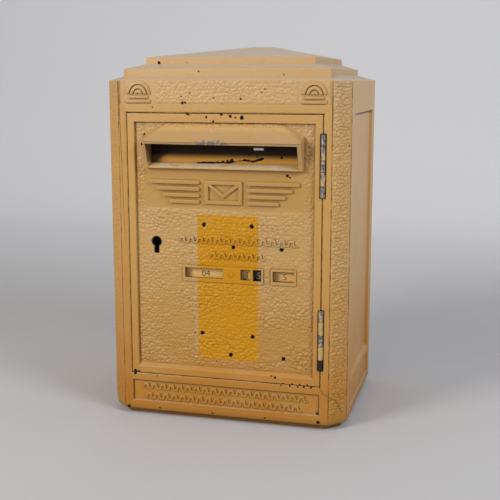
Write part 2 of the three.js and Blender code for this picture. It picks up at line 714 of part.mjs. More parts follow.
function lockCover() {
  const y0 = LOCK.back + SKIN;
  return cut(box(LOCK.left, LOCK.right, y0, y0 + LOCK.cover, LOCK.low, LOCK.high), ...lockScrewHoles());
}

function lockScrew([x, z]) {
  const seat = LOCK.back + 2 * SKIN + LOCK.cover;
  return union(
    rod("y", [x, z], LOCK_SCREW.tip, seat + 1, LOCK_SCREW.shank, LOCK_SCREW.shank, 8),
    rod("y", [x, z], seat, seat + LOCK_SCREW.headHeight, LOCK_SCREW.head, LOCK_SCREW.head - 0.8, 12),
  );
}

// The bolt has a notch in its lower edge for the key's bit.
function lockBolt() {
  const notch = box(KEYHOLE.x - 5, KEYHOLE.x + 5, BOLT.front - 1, BOLT.back + 1, BOLT.low - 1, BOLT.low + 5);
  return cut(box(BOLT.tip, BOLT.tail, BOLT.front, BOLT.back, BOLT.low, BOLT.high), notch);
}

function lockLever() {
  const { left, right, low, high, front, back, pinX, pinZ } = LEVER;
  const outline = [
    [left, low + 5], [left + 8, low + 2], [KEYHOLE.x - 8, low + 2], [KEYHOLE.x - 5, low], [KEYHOLE.x + 5, low],
    [KEYHOLE.x + 8, low + 2], [right, low + 2], [right, high], [left, high - 3],
  ];
  return cut(prismY(outline, front, back), rod("y", [pinX, pinZ], front - 1, back + 1, PIN + SKIN));
}

function leverPin() {
  const inside = LOCK.front + LOCK.wall;
  return union(
    rod("y", [LEVER.pinX, LEVER.pinZ], inside + SKIN, LOCK.back - SKIN, PIN),
    rod("y", [LEVER.pinX, LEVER.pinZ], inside + SKIN, LEVER.front - SKIN, PIN + 1.5),
  );
}

// A flat spring fixed on top of the lever; its free end reaches up towards the top of the case.
function leverSpring() {
  const foot = LEVER.high + SKIN;
  const right = LEVER.right - 10;
  const left = LEVER.left + 4;
  const outline = [
    [right, foot], [right, foot + 1.2], [right - 10, foot + 1.2], [left, foot + 3.2],
    [left, foot + 2.4], [right - 10, foot + 0.3], [right - 9, foot],
  ];
  return prismY(outline.reverse(), LEVER.front, LEVER.back);
}

// ---- Collection indicator --------------------------------------------------------------------------------
function drum(spec) {
  const radius = DRUM_FLAT / Math.cos(Math.PI / spec.sides);
  const geometry = new THREE.CylinderGeometry(radius, radius, spec.right - spec.left, spec.sides);
  geometry.rotateY(Math.PI / spec.sides + Math.PI / 2); // a flat side faces the window
  geometry.rotateZ(-Math.PI / 2);
  geometry.translate((spec.left + spec.right) / 2, AXLE.y, AXLE.z);
  const bore = rod("x", [AXLE.y, AXLE.z], spec.left - 1, spec.right + 1, AXLE.radius + SKIN);
  const hollow = rod("x", [AXLE.y, AXLE.z], spec.left - 1, spec.left + DRUM_HUB.depth, DRUM_HUB.radius);
  return cut(solid(geometry), bore, hollow);
}

function bracketScrews(make) {
  const face = PANE.front + BRACKET.sheet;
  const z = (BRACKET.low + BRACKET.high) / 2;
  const places = [BRACKET.left - BRACKET_SCREW_OUT, BRACKET.right + BRACKET_SCREW_OUT];
  return places.map((x) => make("y", [x, z], face, -1, 5.5));
}

function combScrews(make) {
  const face = BRACKET.back + SKIN + COMB.thickness + 1.8;
  return COMB.screwX.map((x) => make("y", [x, COMB.low + COMB.screwRise], face, -1, 5));
}

function indicatorBracket() {
  const { left, right, sheet, low, high, foot, back } = BRACKET;
  const y0 = PANE.front;
  const cheeks = [box(left, left + sheet, y0, back, low, high), box(right - sheet, right, y0, back, low, high)];
  const feet = [
    box(left - foot, left + 1, y0, y0 + sheet, low, high),
    box(right - 1, right + foot, y0, y0 + sheet, low, high),
  ];
  const bar = box(left, right, back - sheet, back, BRACKET_BAR.low, BRACKET_BAR.high);
  return cut(
    union(...cheeks, ...feet, bar),
    rod("x", [AXLE.y, AXLE.z], left - 1, right + 1, AXLE.radius + SKIN),
    ...bracketScrews(screwHole),
    ...combScrews(screwHole),
  );
}

// One spring strip with a finger over each drum.
function detentComb() {
  const back = BRACKET.back + SKIN;
  const left = DRUMS[0].left;
  const right = DRUMS[DRUMS.length - 1].right;
  const profile = [
    [back, COMB.low], [back + COMB.thickness, COMB.low], [back + COMB.thickness, COMB.high],
    [COMB.front, COMB.high], [COMB.front, COMB.high - COMB.thickness], [back, COMB.high - COMB.thickness],
  ];
  const strip = prismX(profile, left, right);
  const gaps = [];
  for (let i = 0; i + 1 < DRUMS.length; i++) {
    const from = DRUMS[i].right;
    const to = Math.max(DRUMS[i + 1].left, from + 1);
    gaps.push(box(from, to, COMB.front - 1, back - 6, COMB.high - 3, COMB.high + 1));
  }
  return cut(strip, ...gaps, ...combScrews(screwHole));
}

function windowPane() {
  return box(PANE.left, PANE.right, PANE.front, PANE.front + PANE.thickness, PANE.low, PANE.high);
}

// A ring on the axle that fills the room between two drums.
function drumSpacer(before, after) {
  return collar(before.right + 0.5, after.left - 0.5, [AXLE.y, AXLE.z], CLIP.radius, AXLE.radius + SKIN);
}

function axleClip(x0, x1) {
  return collar(x0, x1, [AXLE.y, AXLE.z], CLIP.radius, AXLE.radius + SKIN);
}

function addIndicator() {
  const [day, tens, units, minutes] = DRUMS;
  addNode("indicator_bracket", indicatorBracket(), ZINC);
  bracketScrews(screwSolid).forEach((body, index) => addNode(`bracket_screw_${index + 1}`, body, ZINC));
  addNode("window_pane", windowPane(), GLASS);
  addNode("indicator_axle", rod("x", [AXLE.y, AXLE.z], AXLE.left, AXLE.right, AXLE.radius), STEEL);
  addNode("axle_clip_left", axleClip(BRACKET.left - CLIP.far, BRACKET.left - CLIP.near), STEEL);
  addNode("axle_clip_right", axleClip(BRACKET.right + CLIP.near, BRACKET.right + CLIP.far), STEEL);
  DRUMS.forEach((spec) => addNode(spec.name, drum(spec), IVORY));
  addNode("drum_spacer_left", drumSpacer(day, tens), BRASS);
  addNode("drum_spacer_right", drumSpacer(units, minutes), BRASS);
  addNode("detent_comb", detentComb(), STEEL);
  combScrews(screwSolid).forEach((body, index) => addNode(`comb_screw_${index + 1}`, body, ZINC));
}

// ---- Assembly --------------------------------------------------------------------------------------------
addNode("body_casting", bodyCasting(), PAINT);
addNode("back_plate", backPlate(), PLATE);
backScrews(screwSolid).forEach((body, index) => addNode(`back_screw_${index + 1}`, body, ZINC));
addNode("floor_plate", floorPlate(), PAINT);
floorScrews(screwSolid).forEach((body, index) => addNode(`floor_screw_${index + 1}`, body, ZINC));
addNode("strike_plate", strikePlate(), STEEL);
strikeScrews(screwSolid).forEach((body, index) => addNode(`strike_screw_${index + 1}`, body, ZINC));
addHinges();
addNode("door_casting", doorCasting(), PAINT);
addNode("slot_flap", slotFlap(), PAINT);
addNode("flap_rod", flapRod(), STEEL);
addNode("lock_case", lockCase(), STEEL);
addNode("lock_cover", lockCover(), STEEL);
lockScrewPlaces().forEach((place, index) => addNode(`lock_screw_${index + 1}`, lockScrew(place), ZINC));
addNode("lock_bolt", lockBolt(), BRASS);
addNode("lock_lever", lockLever(), BRASS);
addNode("lever_pin", leverPin(), STEEL);
addNode("lever_spring", leverSpring(), STEEL);
addIndicator();

export default mailbox;
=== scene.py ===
"""A cast wall mailbox in faded yellow paint: the visible surfaces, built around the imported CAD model."""

import functools
import json
import math

import bmesh
import bpy
import numpy as np
from mathutils import Matrix, Vector


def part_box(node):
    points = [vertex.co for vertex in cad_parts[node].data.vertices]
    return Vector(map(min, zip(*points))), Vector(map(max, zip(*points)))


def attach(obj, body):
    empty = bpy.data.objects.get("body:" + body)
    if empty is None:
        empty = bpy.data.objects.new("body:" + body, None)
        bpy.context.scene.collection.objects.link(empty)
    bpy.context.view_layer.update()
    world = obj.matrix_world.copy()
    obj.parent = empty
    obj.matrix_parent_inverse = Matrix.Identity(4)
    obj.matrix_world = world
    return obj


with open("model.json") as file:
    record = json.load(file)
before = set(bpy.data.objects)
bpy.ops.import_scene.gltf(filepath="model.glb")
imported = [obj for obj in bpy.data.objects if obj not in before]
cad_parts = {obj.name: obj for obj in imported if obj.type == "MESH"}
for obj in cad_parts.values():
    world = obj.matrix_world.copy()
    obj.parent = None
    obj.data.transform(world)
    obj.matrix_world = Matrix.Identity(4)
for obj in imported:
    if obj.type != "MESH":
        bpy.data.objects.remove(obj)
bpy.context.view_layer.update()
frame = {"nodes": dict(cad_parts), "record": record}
NODES = frame["nodes"]

# ---- Places ----
# Casting coordinates are millimetres: x from the centre line, y from the front face towards the wall,
# z from the lower edge of the body. place() turns them into metres in the frame of the CAD model.
MM = 0.001
BODY_LOW, BODY_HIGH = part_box("body_casting")
HALF_WIDTH = BODY_HIGH.x / MM
FOOT = BODY_LOW.z  # lower edge of the body, in metres
WALL_TOP = 545.0
CORNER_CUT = 27.0


def place(x, y, z):
    return Vector((x * MM, BODY_LOW.y + y * MM, BODY_LOW.z + z * MM))


def place_all(points):
    """The same for an array of points with one row each."""
    return np.asarray(points, float) * MM + np.array([0.0, BODY_LOW.y, BODY_LOW.z])


def depth(y):
    return place(0, y, 0).y


def level(z):
    return place(0, 0, z).z


# Door
PANEL = {"half": 147.6, "low": 75.0, "high": 480.5, "floor": 5.6, "bevel": 6.0}
SHEET_LEVEL = 5.3  # deepest level of the hammered surface of the door
WORD_BAND = {"low": 343.0, "high": 404.0}
HOOD = {"half": 129.5, "low": 407.5, "high": 480.5, "lip": 451.0, "reach": 18.0}
HOOD_SHOULDER = {"z": 460.0, "x": 90.0}  # where its slanted ends begin
SLOT = {"half": 122.5, "low": 415.5, "high": 446.5}
SILL = {"low": 409.6, "high": 416.2}
FLAP_FACE = 15.0
KEYHOLE = {"x": -114.0, "z": 287.3, "radius": 7.5, "tail": 3.2, "low": 268.5}
DRILLED = [
    (-33, 318), (46.5, 318), (16, 283), (95, 282.5), (-37, 138.5), (48, 137.7), (11.4, 104.6), (99.4, 104.5),
]
DRILLED_RADIUS = 2.4
WINDOW_FRAMES = [
    {"left": -69.4, "right": 65.5, "low": 224.2, "high": 250.3},
    {"left": 77.5, "right": 119.0, "low": 224.8, "high": 250.3},
]
FRAME_FACE = 3.2
OPENING = {"half": 161.2, "low": 62.0, "high": 496.2}
HINGES = [92.0, 368.0]  # lower ends
KNUCKLES = [17.0, 22.0, 18.0, 22.0, 17.0]
HINGE_LENGTH = sum(KNUCKLES)
BRIGHT_PATCH = {"left": -44.0, "right": 57.0, "low": 96.0, "high": 334.0}

# Body
FRIEZE = {"left": -109.6, "right": 120.0, "low": 508.7, "high": 544.6, "floor": 2.0}
BASE_PANEL = {"half": 159.0, "low": 15.0, "high": 50.4, "floor": 3.0}
SIDE_PANEL = {"front": 58.0, "back": 262.0, "high": 494.0}
LOWER_CORNER = {"reach": 10.8, "rise": 13.0}  # rounding at the lower ends of the cut corners

# Ornament that stands in for the lettering: left, right, low and high
EMBLEM = {"half": 31.0, "low": 351.5, "high": 388.8, "reach": 124.0}
DOOR_BANDS = [(-74.7, 123.0, 287.3, 298.0), (-23.4, 70.8, 263.2, 273.8)]
BASE_BANDS = [(-141.6, 142.5, 34.8, 46.0), (-136.6, 132.9, 18.0, 29.2)]
FAN_FIELDS = [(-159.5, -118.9), (126.2, 164.5)]
MEANDER_PERIOD = 15.0
LOZENGE = {"x": 13.0, "z": 239.0, "half": 5.2}

# ---- Mesh tools ----
SHARP_ANGLE = math.radians(38)
HAMMERED_ANGLE = math.radians(70)


def configure(item, **settings):
    for key, value in settings.items():
        setattr(item, key, value)
    return item


def new_mesh(name, bm, material):
    mesh = bpy.data.meshes.new(name)
    bm.to_mesh(mesh)
    bm.free()
    mesh.materials.append(material)
    return mesh


def add_object(name, data):
    item = bpy.data.objects.new(name, data)
    bpy.context.scene.collection.objects.link(item)
    return item


def add_piece(name, bm, body, material, angle=SHARP_ANGLE):
    """Turns a bmesh in metres into a piece that rides on a body, smooth but for edges above the angle."""
    bmesh.ops.recalc_face_normals(bm, faces=bm.faces)
    for face in bm.faces:
        face.smooth = True
    for edge in bm.edges:
        edge.smooth = len(edge.link_faces) == 2 and edge.calc_face_angle(0.0) < angle
    piece = add_object(name, new_mesh(name, bm, material))
    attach(piece, body)


def refine(node, width):
    """Rounds the edges of a CAD node with modifiers; its mesh stays as it is."""
    add = NODES[node].modifiers.new
    configure(add("weld", "WELD"), merge_threshold=0.00002)
    configure(add("bevel", "BEVEL"), width=width * MM, segments=2, limit_method="ANGLE",
              angle_limit=math.radians(28), use_clamp_overlap=False, loop_slide=False)
    configure(add("normals", "WEIGHTED_NORMAL"), keep_sharp=False, weight=80)


def smooth_step(value, low, high):
    """0 below low and 1 above high, with a smooth change between them."""
    t = np.clip((value - low) / (high - low), 0.0, 1.0)
    return t * t * (3 - 2 * t)


def smooth_max(a, b, soft):
    """The larger of two values, with a soft change from one to the other."""
    share = np.clip(0.5 + 0.5 * (b - a) / soft, 0.0, 1.0)
    return a + (b - a) * share + soft * share * (1 - share)


# ---- Hammered texture ----
TABLE_SIZE = 256  # domes in a row and rows, before the pattern repeats
DOME_EDGE = 13.0  # how sharply neighbouring domes meet
DOME_FALL = 2.1  # how quickly a dome falls off towards its edge
DOMES = {  # width and height of a dome, and the seed of the pattern
    "door": (5.8, 5.0, 11),
    "hood": (5.8, 5.0, 13),
    "frieze": (6.2, 5.0, 21),
    "right": (6.0, 5.0, 61),
    "left": (6.0, 5.0, 71),
}
DOME_RISE = {"door": 2.6, "hood": 1.6, "frieze": 1.25, "right": 2.6, "left": 2.1}


def waves(u, v, seed, length, count=7):
    """A smooth wandering value between about -1 and 1: a few sine waves in random directions."""
    rng = np.random.default_rng(seed)
    total = np.zeros_like(u)
    for _ in range(count):
        direction = rng.uniform(0, 2 * math.pi)
        stretch = rng.uniform(0.6, 1.7)
        phase = rng.uniform(0, 2 * math.pi)
        step = 2 * math.pi / (length * stretch)
        total += np.sin((u * math.cos(direction) + v * math.sin(direction)) * step + phase)
    return total / math.sqrt(count)


def pebbles(u, v, cell_u, cell_v, seed):
    """Height from 0 to 1 of a hammered surface: rows of irregular low domes that flow into each other."""
    rng = np.random.default_rng(seed)
    jitter = rng.uniform(0.22, 0.78, (TABLE_SIZE, TABLE_SIZE, 2))
    rise = rng.uniform(0.55, 1.0, (TABLE_SIZE, TABLE_SIZE))
    wide = rng.uniform(0.8, 1.25, (TABLE_SIZE, TABLE_SIZE))
    u_bent = u + 1.2 * waves(u, v, seed + 1, 30)
    v_bent = v + 1.1 * waves(u, v, seed + 2, 26)
    row = np.floor(v_bent / cell_v).astype(int)
    v = v_bent / cell_v
    total = np.zeros(u.shape)
    weighted = np.zeros(u.shape)
    for dv in (-1, 0, 1):
        j = (row + dv) % TABLE_SIZE
        shifted = u_bent / cell_u + 0.5 * (j % 2)
        column = np.floor(shifted).astype(int)
        for du in (-1, 0, 1):
            i = (column + du) % TABLE_SIZE
            away_u = (column + du + jitter[i, j, 0] - shifted) / wide[i, j]
            away_v = row + dv + jitter[i, j, 1] - v
            square = away_u ** 2 + away_v ** 2
            near = np.exp(-DOME_EDGE * square)
            total += near
            weighted += near * rise[i, j] * np.clip(1.0 - DOME_FALL * square, 0.0, 1.0)
    return weighted / (total + 0.004)


def spaced(low, high, step):
    """Evenly spaced grid lines about one step apart."""
    return np.linspace(low, high, max(2, int(round((high - low) / step)) + 1))


def joined_lines(*stretches):
    """Grid lines from several (low, high, step) stretches that follow each other."""
    lines = [spaced(*stretch) for stretch in stretches]
    return np.unique(np.concatenate(lines).round(4))


def no_hole(u, v):
    return np.zeros(u.shape, bool)


def flat_back(u, v, y):
    return np.stack([u, np.full_like(u, y), v], axis=1)


def add_sheet(name, body, material, us, vs, to_points, thickness, is_hole=no_hole, circles=()):
    """Adds a closed slab over a grid. to_points(u, v, deep) gives casting points, where deep is 0 on the
    worked surface and the thickness on the hidden back. Faces whose centre lies in a hole are left out, and
    the grid points beside a round hole are moved onto its circle."""
    u, v = np.meshgrid(us, vs, indexing="ij")
    centre_u = (u[1:, 1:] + u[:-1, :-1]) / 2
    centre_v = (v[1:, 1:] + v[:-1, :-1]) / 2
    solid = ~is_hole(centre_u, centre_v)
    for cu, cv, radius in circles:
        solid &= np.hypot(centre_u - cu, centre_v - cv) > radius
    index = np.arange(u.size).reshape(u.shape)
    quads = np.stack([index[:-1, :-1], index[1:, :-1], index[1:, 1:], index[:-1, 1:]], axis=-1)[solid]
    edges = np.concatenate([quads[:, [k, (k + 1) % 4]] for k in range(4)])
    keys = np.sort(edges, axis=1) @ np.array([u.size, 1])
    unique, first, counts = np.unique(keys, return_index=True, return_counts=True)
    rim = edges[first[counts == 1]]
    flat_u, flat_v = u.ravel().copy(), v.ravel().copy()
    on_rim = np.zeros(u.size, bool)
    on_rim[rim.ravel()] = True
    for cu, cv, radius in circles:
        away = np.hypot(flat_u - cu, flat_v - cv)
        beside = on_rim & (away < radius + 1.6) & (away > 1e-6)
        flat_u[beside] = cu + (flat_u[beside] - cu) * radius / away[beside]
        flat_v[beside] = cv + (flat_v[beside] - cv) * radius / away[beside]
    used = np.unique(quads)
    renumber = np.full(u.size, -1)
    renumber[used] = np.arange(used.size)
    top = to_points(flat_u[used], flat_v[used], 0.0)
    rim_points = np.unique(rim)
    under = np.full(u.size, -1)
    under[rim_points] = used.size + np.arange(rim_points.size)
    back = to_points(flat_u[rim_points], flat_v[rim_points], thickness)
    bm = bmesh.new()
    verts = [bm.verts.new(p) for p in place_all(np.concatenate([top, back]))]
    for quad in renumber[quads]:
        bm.faces.new([verts[k] for k in quad])
    back_edges = []
    for a, b in rim:
        side = bm.faces.new([verts[renumber[b]], verts[renumber[a]], verts[under[a]], verts[under[b]]])
        back_edges.append(side.edges[2])
    bmesh.ops.triangle_fill(bm, use_beauty=False, use_dissolve=False, edges=back_edges)
    add_piece(name, bm, body, material, HAMMERED_ANGLE)


def inside(left, right, low, high):
    """A test for grid points inside a rectangle."""
    def test(u, v):
        return (u > left) & (u < right) & (v > low) & (v < high)
    return test


def door_sheet(material):
    """The hammered surface of the door's recess, smooth along the word band."""
    half = PANEL["half"] + 0.2
    low = PANEL["low"] + PANEL["bevel"] - 0.4
    high = PANEL["high"] + 0.2
    key_x, key_z, tail = KEYHOLE["x"], KEYHOLE["z"], KEYHOLE["tail"]
    holes = [
        inside(1 - HOOD["half"], HOOD["half"] - 1, HOOD["low"] + 0.6, high + 1),
        inside(key_x - tail, key_x + tail, KEYHOLE["low"], key_z),
    ]
    holes += [inside(f["left"] + 1, f["right"] - 1, f["low"] + 1, f["high"] - 1) for f in WINDOW_FRAMES]
    circles = [(key_x, key_z, KEYHOLE["radius"])]
    circles += [(x, z, DRILLED_RADIUS) for x, z in DRILLED]

    def is_hole(u, v):
        return np.any([test(u, v) for test in holes], axis=0)

    def work(u, v):
        """How strongly the surface is worked, from 0 where it stays smooth to 1."""
        edge = np.minimum(np.minimum(half - np.abs(u), high - v), v - low)
        amount = smooth_step(edge, 0.3, 4.0)
        band = np.maximum(WORD_BAND["low"] - v, v - WORD_BAND["high"])
        amount *= smooth_step(np.maximum(band, np.abs(u) - 129), 0.0, 4.0)
        below_hood = np.maximum(np.abs(u) - HOOD["half"], HOOD["low"] - v)
        amount *= smooth_step(below_hood, 0.0, 5.0)
        for f in WINDOW_FRAMES:
            out_u = np.maximum(f["left"] - u, u - f["right"])
            out_v = np.maximum(f["low"] - v, v - f["high"])
            amount *= smooth_step(np.maximum(out_u, out_v), 0.5, 4.0)
        amount *= smooth_step(np.hypot(u - key_x, v - key_z + 5), 12.0, 16.0) * 0.8 + 0.2
        return amount * (0.75 + 0.25 * waves(u, v, 40, 90))

    def to_points(u, v, deep):
        if deep:
            return flat_back(u, v, PANEL["floor"] + deep)
        height = pebbles(u, v, *DOMES["door"]) * work(u, v)
        rise = DOME_RISE["door"] - 0.6 * smooth_step(v, 110.0, 320.0)
        return np.stack([u, SHEET_LEVEL - rise * height - 0.08 * waves(u, v, 31, 60), v], axis=1)

    us, vs = spaced(-half, half, 1.03), spaced(low, high, 1.1)
    add_sheet("door_hammered_panel", "door", material, us, vs, to_points, 0.9, is_hole, circles)


def hood_skin(material):
    """The hood swells out of the panel without an upper edge; only its lip is sharp."""
    half = HOOD["half"] + 0.3
    start = Vector((HOOD["high"], SHEET_LEVEL))
    bend = Vector((HOOD["high"] - 12.5, SHEET_LEVEL - 9.0))
    end = Vector((HOOD["lip"] - 0.4, -HOOD["reach"] - 1.4))

    def end_slope(u, z):
        """y of the slanted face that carries the hood down to its shoulders."""
        across = (PANEL["floor"] + HOOD["reach"]) / (HOOD_SHOULDER["z"] - HOOD["lip"])
        along = across * (HOOD["high"] - HOOD_SHOULDER["z"]) / (HOOD["half"] - HOOD_SHOULDER["x"])
        return start.y - 2.0 + across * (z - HOOD_SHOULDER["z"] - 1.0) + along * (np.abs(u) - HOOD["half"])

    def to_points(u, v, deep):
        t = np.clip((start.x - v) / (start.x - end.x), 0.0, 1.0)
        z = start.x * (1 - t) ** 2 + 2 * bend.x * t * (1 - t) + end.x * t ** 2
        if deep:
            return flat_back(u, z, PANEL["floor"] + deep)
        y = start.y * (1 - t) ** 2 + 2 * bend.y * t * (1 - t) + end.y * t ** 2
        slanted = smooth_step(end_slope(u, z) - y, -2.5, 1.0)
        y = -smooth_max(-smooth_max(y, end_slope(u, z), 9.0), np.full_like(y, -start.y), 2.5)
        work = np.maximum(smooth_step(z, 456.0, 472.0), slanted * smooth_step(z, 453.0, 460.0))
        work *= smooth_step(half - np.abs(u), 1.0, 8.0)
        y -= DOME_RISE["hood"] * pebbles(u, v, *DOMES["hood"]) * work
        rounding = 2.2
        over = np.clip(np.abs(u) - half + rounding, 0.0, rounding)
        y += (rounding - np.sqrt(rounding ** 2 - over ** 2)) * smooth_step(t, 0.3, 0.7)
        return np.stack([u, y, z], axis=1)

    us = joined_lines((-half, 4 - half, 0.5), (4 - half, half - 4, 1.1), (half - 4, half, 0.5))
    vs = spaced(end.x, start.x, 1.0)
    add_sheet("hood_skin", "door", material, us, vs, to_points, 0.6)


def frieze_sheet(material):
    """The hammered middle of the frieze."""
    def to_points(u, v, deep):
        if deep:
            return flat_back(u, v, FRIEZE["floor"] + deep)
        edge = np.minimum(np.minimum(u - FRIEZE["left"], FRIEZE["right"] - u), v - FRIEZE["low"])
        height = pebbles(u, v, *DOMES["frieze"]) * smooth_step(edge, 0.3, 3.0)
        return np.stack([u, FRIEZE["floor"] - 0.3 - DOME_RISE["frieze"] * height, v], axis=1)

    us = spaced(FRIEZE["left"], FRIEZE["right"], 1.0)
    vs = spaced(FRIEZE["low"] - 0.2, FRIEZE["high"], 0.95)
    add_sheet("frieze_hammered_panel", "body", material, us, vs, to_points, 0.5)


def corner_sheet(side, material):
    """The hammered strip on one cut corner of the body; side is -1 or 1."""
    name = "right" if side > 0 else "left"
    width = CORNER_CUT * math.sqrt(2)
    margin = 1.3
    slant = math.sqrt(0.5)

    def to_points(u, v, deep):
        if deep:
            out = np.full_like(u, -deep)
        else:
            edge = np.minimum(np.minimum(u - margin, width - margin - u), 0.25 * (v - 2.5))
            height = pebbles(u, v, *DOMES[name])
            out = 0.15 + 0.25 * smooth_step(edge, -0.6, 1.0)
            out += DOME_RISE[name] * height * smooth_step(edge, 0.0, 6.0)
        missing = np.clip(1.0 - v / LOWER_CORNER["rise"], 0.0, 1.0) * LOWER_CORNER["reach"]
        u = margin + (u - margin) * (1.0 - missing / (width - 2 * margin))
        x = (HALF_WIDTH - CORNER_CUT) + u * slant + out * slant
        y = u * slant - out * slant
        return np.stack([side * x, y, v], axis=1)

    us = spaced(margin, width - margin, 1.05)
    vs = spaced(3.0, WALL_TOP - 1.2, 1.0)
    add_sheet(f"{name}_corner_strip", "body", material, us, vs, to_points, 0.6)


def bead(bm, along, fixed, start, end, toward, seed):
    """A closed strip of thick paint on one edge of the opening, uneven in thickness."""
    rng = np.random.default_rng(seed)
    count = max(2, int((end - start) / 5))
    rings = []
    for k in range(count + 1):
        run = start + (end - start) * k / count
        thick = toward * rng.uniform(0.55, 1.15)
        ring = []
        for across, y in ((fixed, 0.4), (fixed + thick, 0.9), (fixed + thick, 5.0), (fixed, 5.5)):
            x, z = (across, run) if along == "z" else (run, across)
            ring.append(bm.verts.new(place(x, y, z)))
        rings.append(ring)
    for a, b in zip(rings, rings[1:]):
        for i in range(4):
            bm.faces.new([a[i], a[(i + 1) % 4], b[(i + 1) % 4], b[i]])
    bm.faces.new(rings[0])
    bm.faces.new(rings[-1][::-1])


def paint_beads(material):
    """Old paint that has built up along the edge of the door opening."""
    bm = bmesh.new()
    half, low, high = OPENING["half"], OPENING["low"], OPENING["high"]
    bead(bm, "z", -half, low + 1.5, high - 1.5, 1, 1)
    bead(bm, "x", low, 1.5 - half, half - 1.5, 1, 2)
    bead(bm, "x", high, 1.5 - half, half - 1.5, -1, 3)
    stops = [low + 1.5, high - 1.5]
    for hinge in HINGES:
        stops += [hinge - 3, hinge + HINGE_LENGTH + 3]
    stops.sort()
    for k in range(0, len(stops), 2):
        bead(bm, "z", half, stops[k], stops[k + 1], -1, 4 + k)
    add_piece("opening_paint_beads", bm, "body", material)


# ---- Raised ornament ----
def raised(bm, outline, front, back, bevel=0.8):
    """Adds one raised shape to a bmesh: an outline in (x, z), standing out from y = back to y = front."""
    lower = [bm.verts.new(place(x, back, z)) for x, z in outline]
    upper = [bm.verts.new(place(x, front, z)) for x, z in outline]
    cap = bm.faces.new(upper)
    bm.faces.new(list(reversed(lower)))
    count = len(outline)
    for i in range(count):
        j = (i + 1) % count
        bm.faces.new([lower[i], lower[j], upper[j], upper[i]])
    rim = list(cap.edges)
    bmesh.ops.bevel(bm, geom=rim, offset=bevel * MM, segments=2, profile=0.6, affect="EDGES")


def bar(x0, x1, z0, z1):
    return [(x0, z0), (x1, z0), (x1, z1), (x0, z1)]


def ribbon(points, width):
    """The outline of a band of constant width along a bent line."""
    sides = ([], [])
    for k, (x, z) in enumerate(points):
        point = Vector((x, z))
        before = (point - Vector(points[k - 1])).normalized() if k else None
        after = (Vector(points[k + 1]) - point).normalized() if k + 1 < len(points) else None
        before, after = before or after, after or before
        normal = Vector((-before.y - after.y, before.x + after.x)).normalized()
        reach = width / 2 / normal.dot(Vector((-after.y, after.x)))
        sides[0].append(tuple(point + normal * reach))
        sides[1].append(tuple(point - normal * reach))
    return sides[1] + sides[0][::-1]


def meander(left, right, low, high, width):
    """A square wave band that fills the room from left to right."""
    count = max(1, round((right - left - width) / MEANDER_PERIOD))
    period = (right - left - width) / count
    low, high = low + width / 2, high - width / 2
    x = left + width / 2
    points = [(x, low)]
    for _ in range(count):
        points += [(x, high), (x + period / 2, high), (x + period / 2, low), (x + period, low)]
        x += period
    return ribbon(points, width)


def rounded_bar(x0, x1, z0, z1, steps=6):
    """A bar whose two ends are half circles."""
    radius = (z1 - z0) / 2
    middle = (z0 + z1) / 2
    points = []
    for centre, start in ((x1 - radius, -90), (x0 + radius, 90)):
        for k in range(steps + 1):
            angle = math.radians(start + 180 * k / steps)
            points.append((centre + radius * math.cos(angle), middle + radius * math.sin(angle)))
    return points


def raised_ring(bm, outer, inner, front, back, bevel=0.8):
    """Adds a raised band between two outlines with the same number of points."""
    rings = []
    for outline, y in ((outer, back), (outer, front), (inner, front), (inner, back)):
        rings.append([bm.verts.new(place(x, y, z)) for x, z in outline])
    count = len(outer)
    rim = []
    for a, b in zip(rings, rings[1:] + rings[:1]):
        for i in range(count):
            j = (i + 1) % count
            bm.faces.new([a[i], a[j], b[j], b[i]])
    for ring in rings[1:3]:
        rim += [bm.edges.get((ring[i], ring[(i + 1) % count])) for i in range(count)]
    bmesh.ops.bevel(bm, geom=rim, offset=bevel * MM, segments=2, profile=0.6, affect="EDGES")


def arch(cx, cz, outer, inner, steps=14):
    """The upper half of a ring."""
    angles = [math.radians(180 * k / steps) for k in range(steps + 1)]
    points = [(cx + outer * math.cos(a), cz + outer * math.sin(a)) for a in angles]
    points += [(cx + inner * math.cos(a), cz + inner * math.sin(a)) for a in reversed(angles)]
    return points


def lozenge(x, z, half):
    return [(x - half, z), (x, z - half), (x + half, z), (x, z + half)]


def door_emblem(material):
    """An envelope with a row of speed lines on both sides, where the real box has a word."""
    bm = bmesh.new()
    front, back = SHEET_LEVEL - 3.7, PANEL["floor"] + 0.4
    half, low, high = EMBLEM["half"], EMBLEM["low"], EMBLEM["high"]
    line = 6.2
    inner = bar(line - half, half - line, low + line, high - line)
    raised_ring(bm, bar(-half, half, low, high), inner, front, back)
    fold = [(line / 2 - half, high - line / 2), (0, low + 13), (half - line / 2, high - line / 2)]
    raised(bm, ribbon(fold, 5.2), front + 0.35, back, 0.6)
    lines = 4
    pitch = (high - low - line) / (lines - 1)
    for side in (-1, 1):
        for k in range(lines):
            z = low + k * pitch
            reach = EMBLEM["reach"] - 11.0 * (lines - 1 - k)
            x0, x1 = sorted((side * (half + 8), side * reach))
            raised(bm, rounded_bar(x0, x1, z, z + line), front, back)
    add_piece("door_emblem", bm, "door", material)


def door_meanders(material):
    """Two short bands above the windows, and a lozenge between two windows."""
    bm = bmesh.new()
    front, back = SHEET_LEVEL - 2.3, PANEL["floor"] + 0.4
    for band in DOOR_BANDS:
        raised(bm, meander(*band, 2.5), front, back, 0.8)
    raised(bm, lozenge(LOZENGE["x"], LOZENGE["z"], LOZENGE["half"]), FRAME_FACE - 1.2, FRAME_FACE + 1, 0.5)
    add_piece("door_meanders", bm, "door", material)


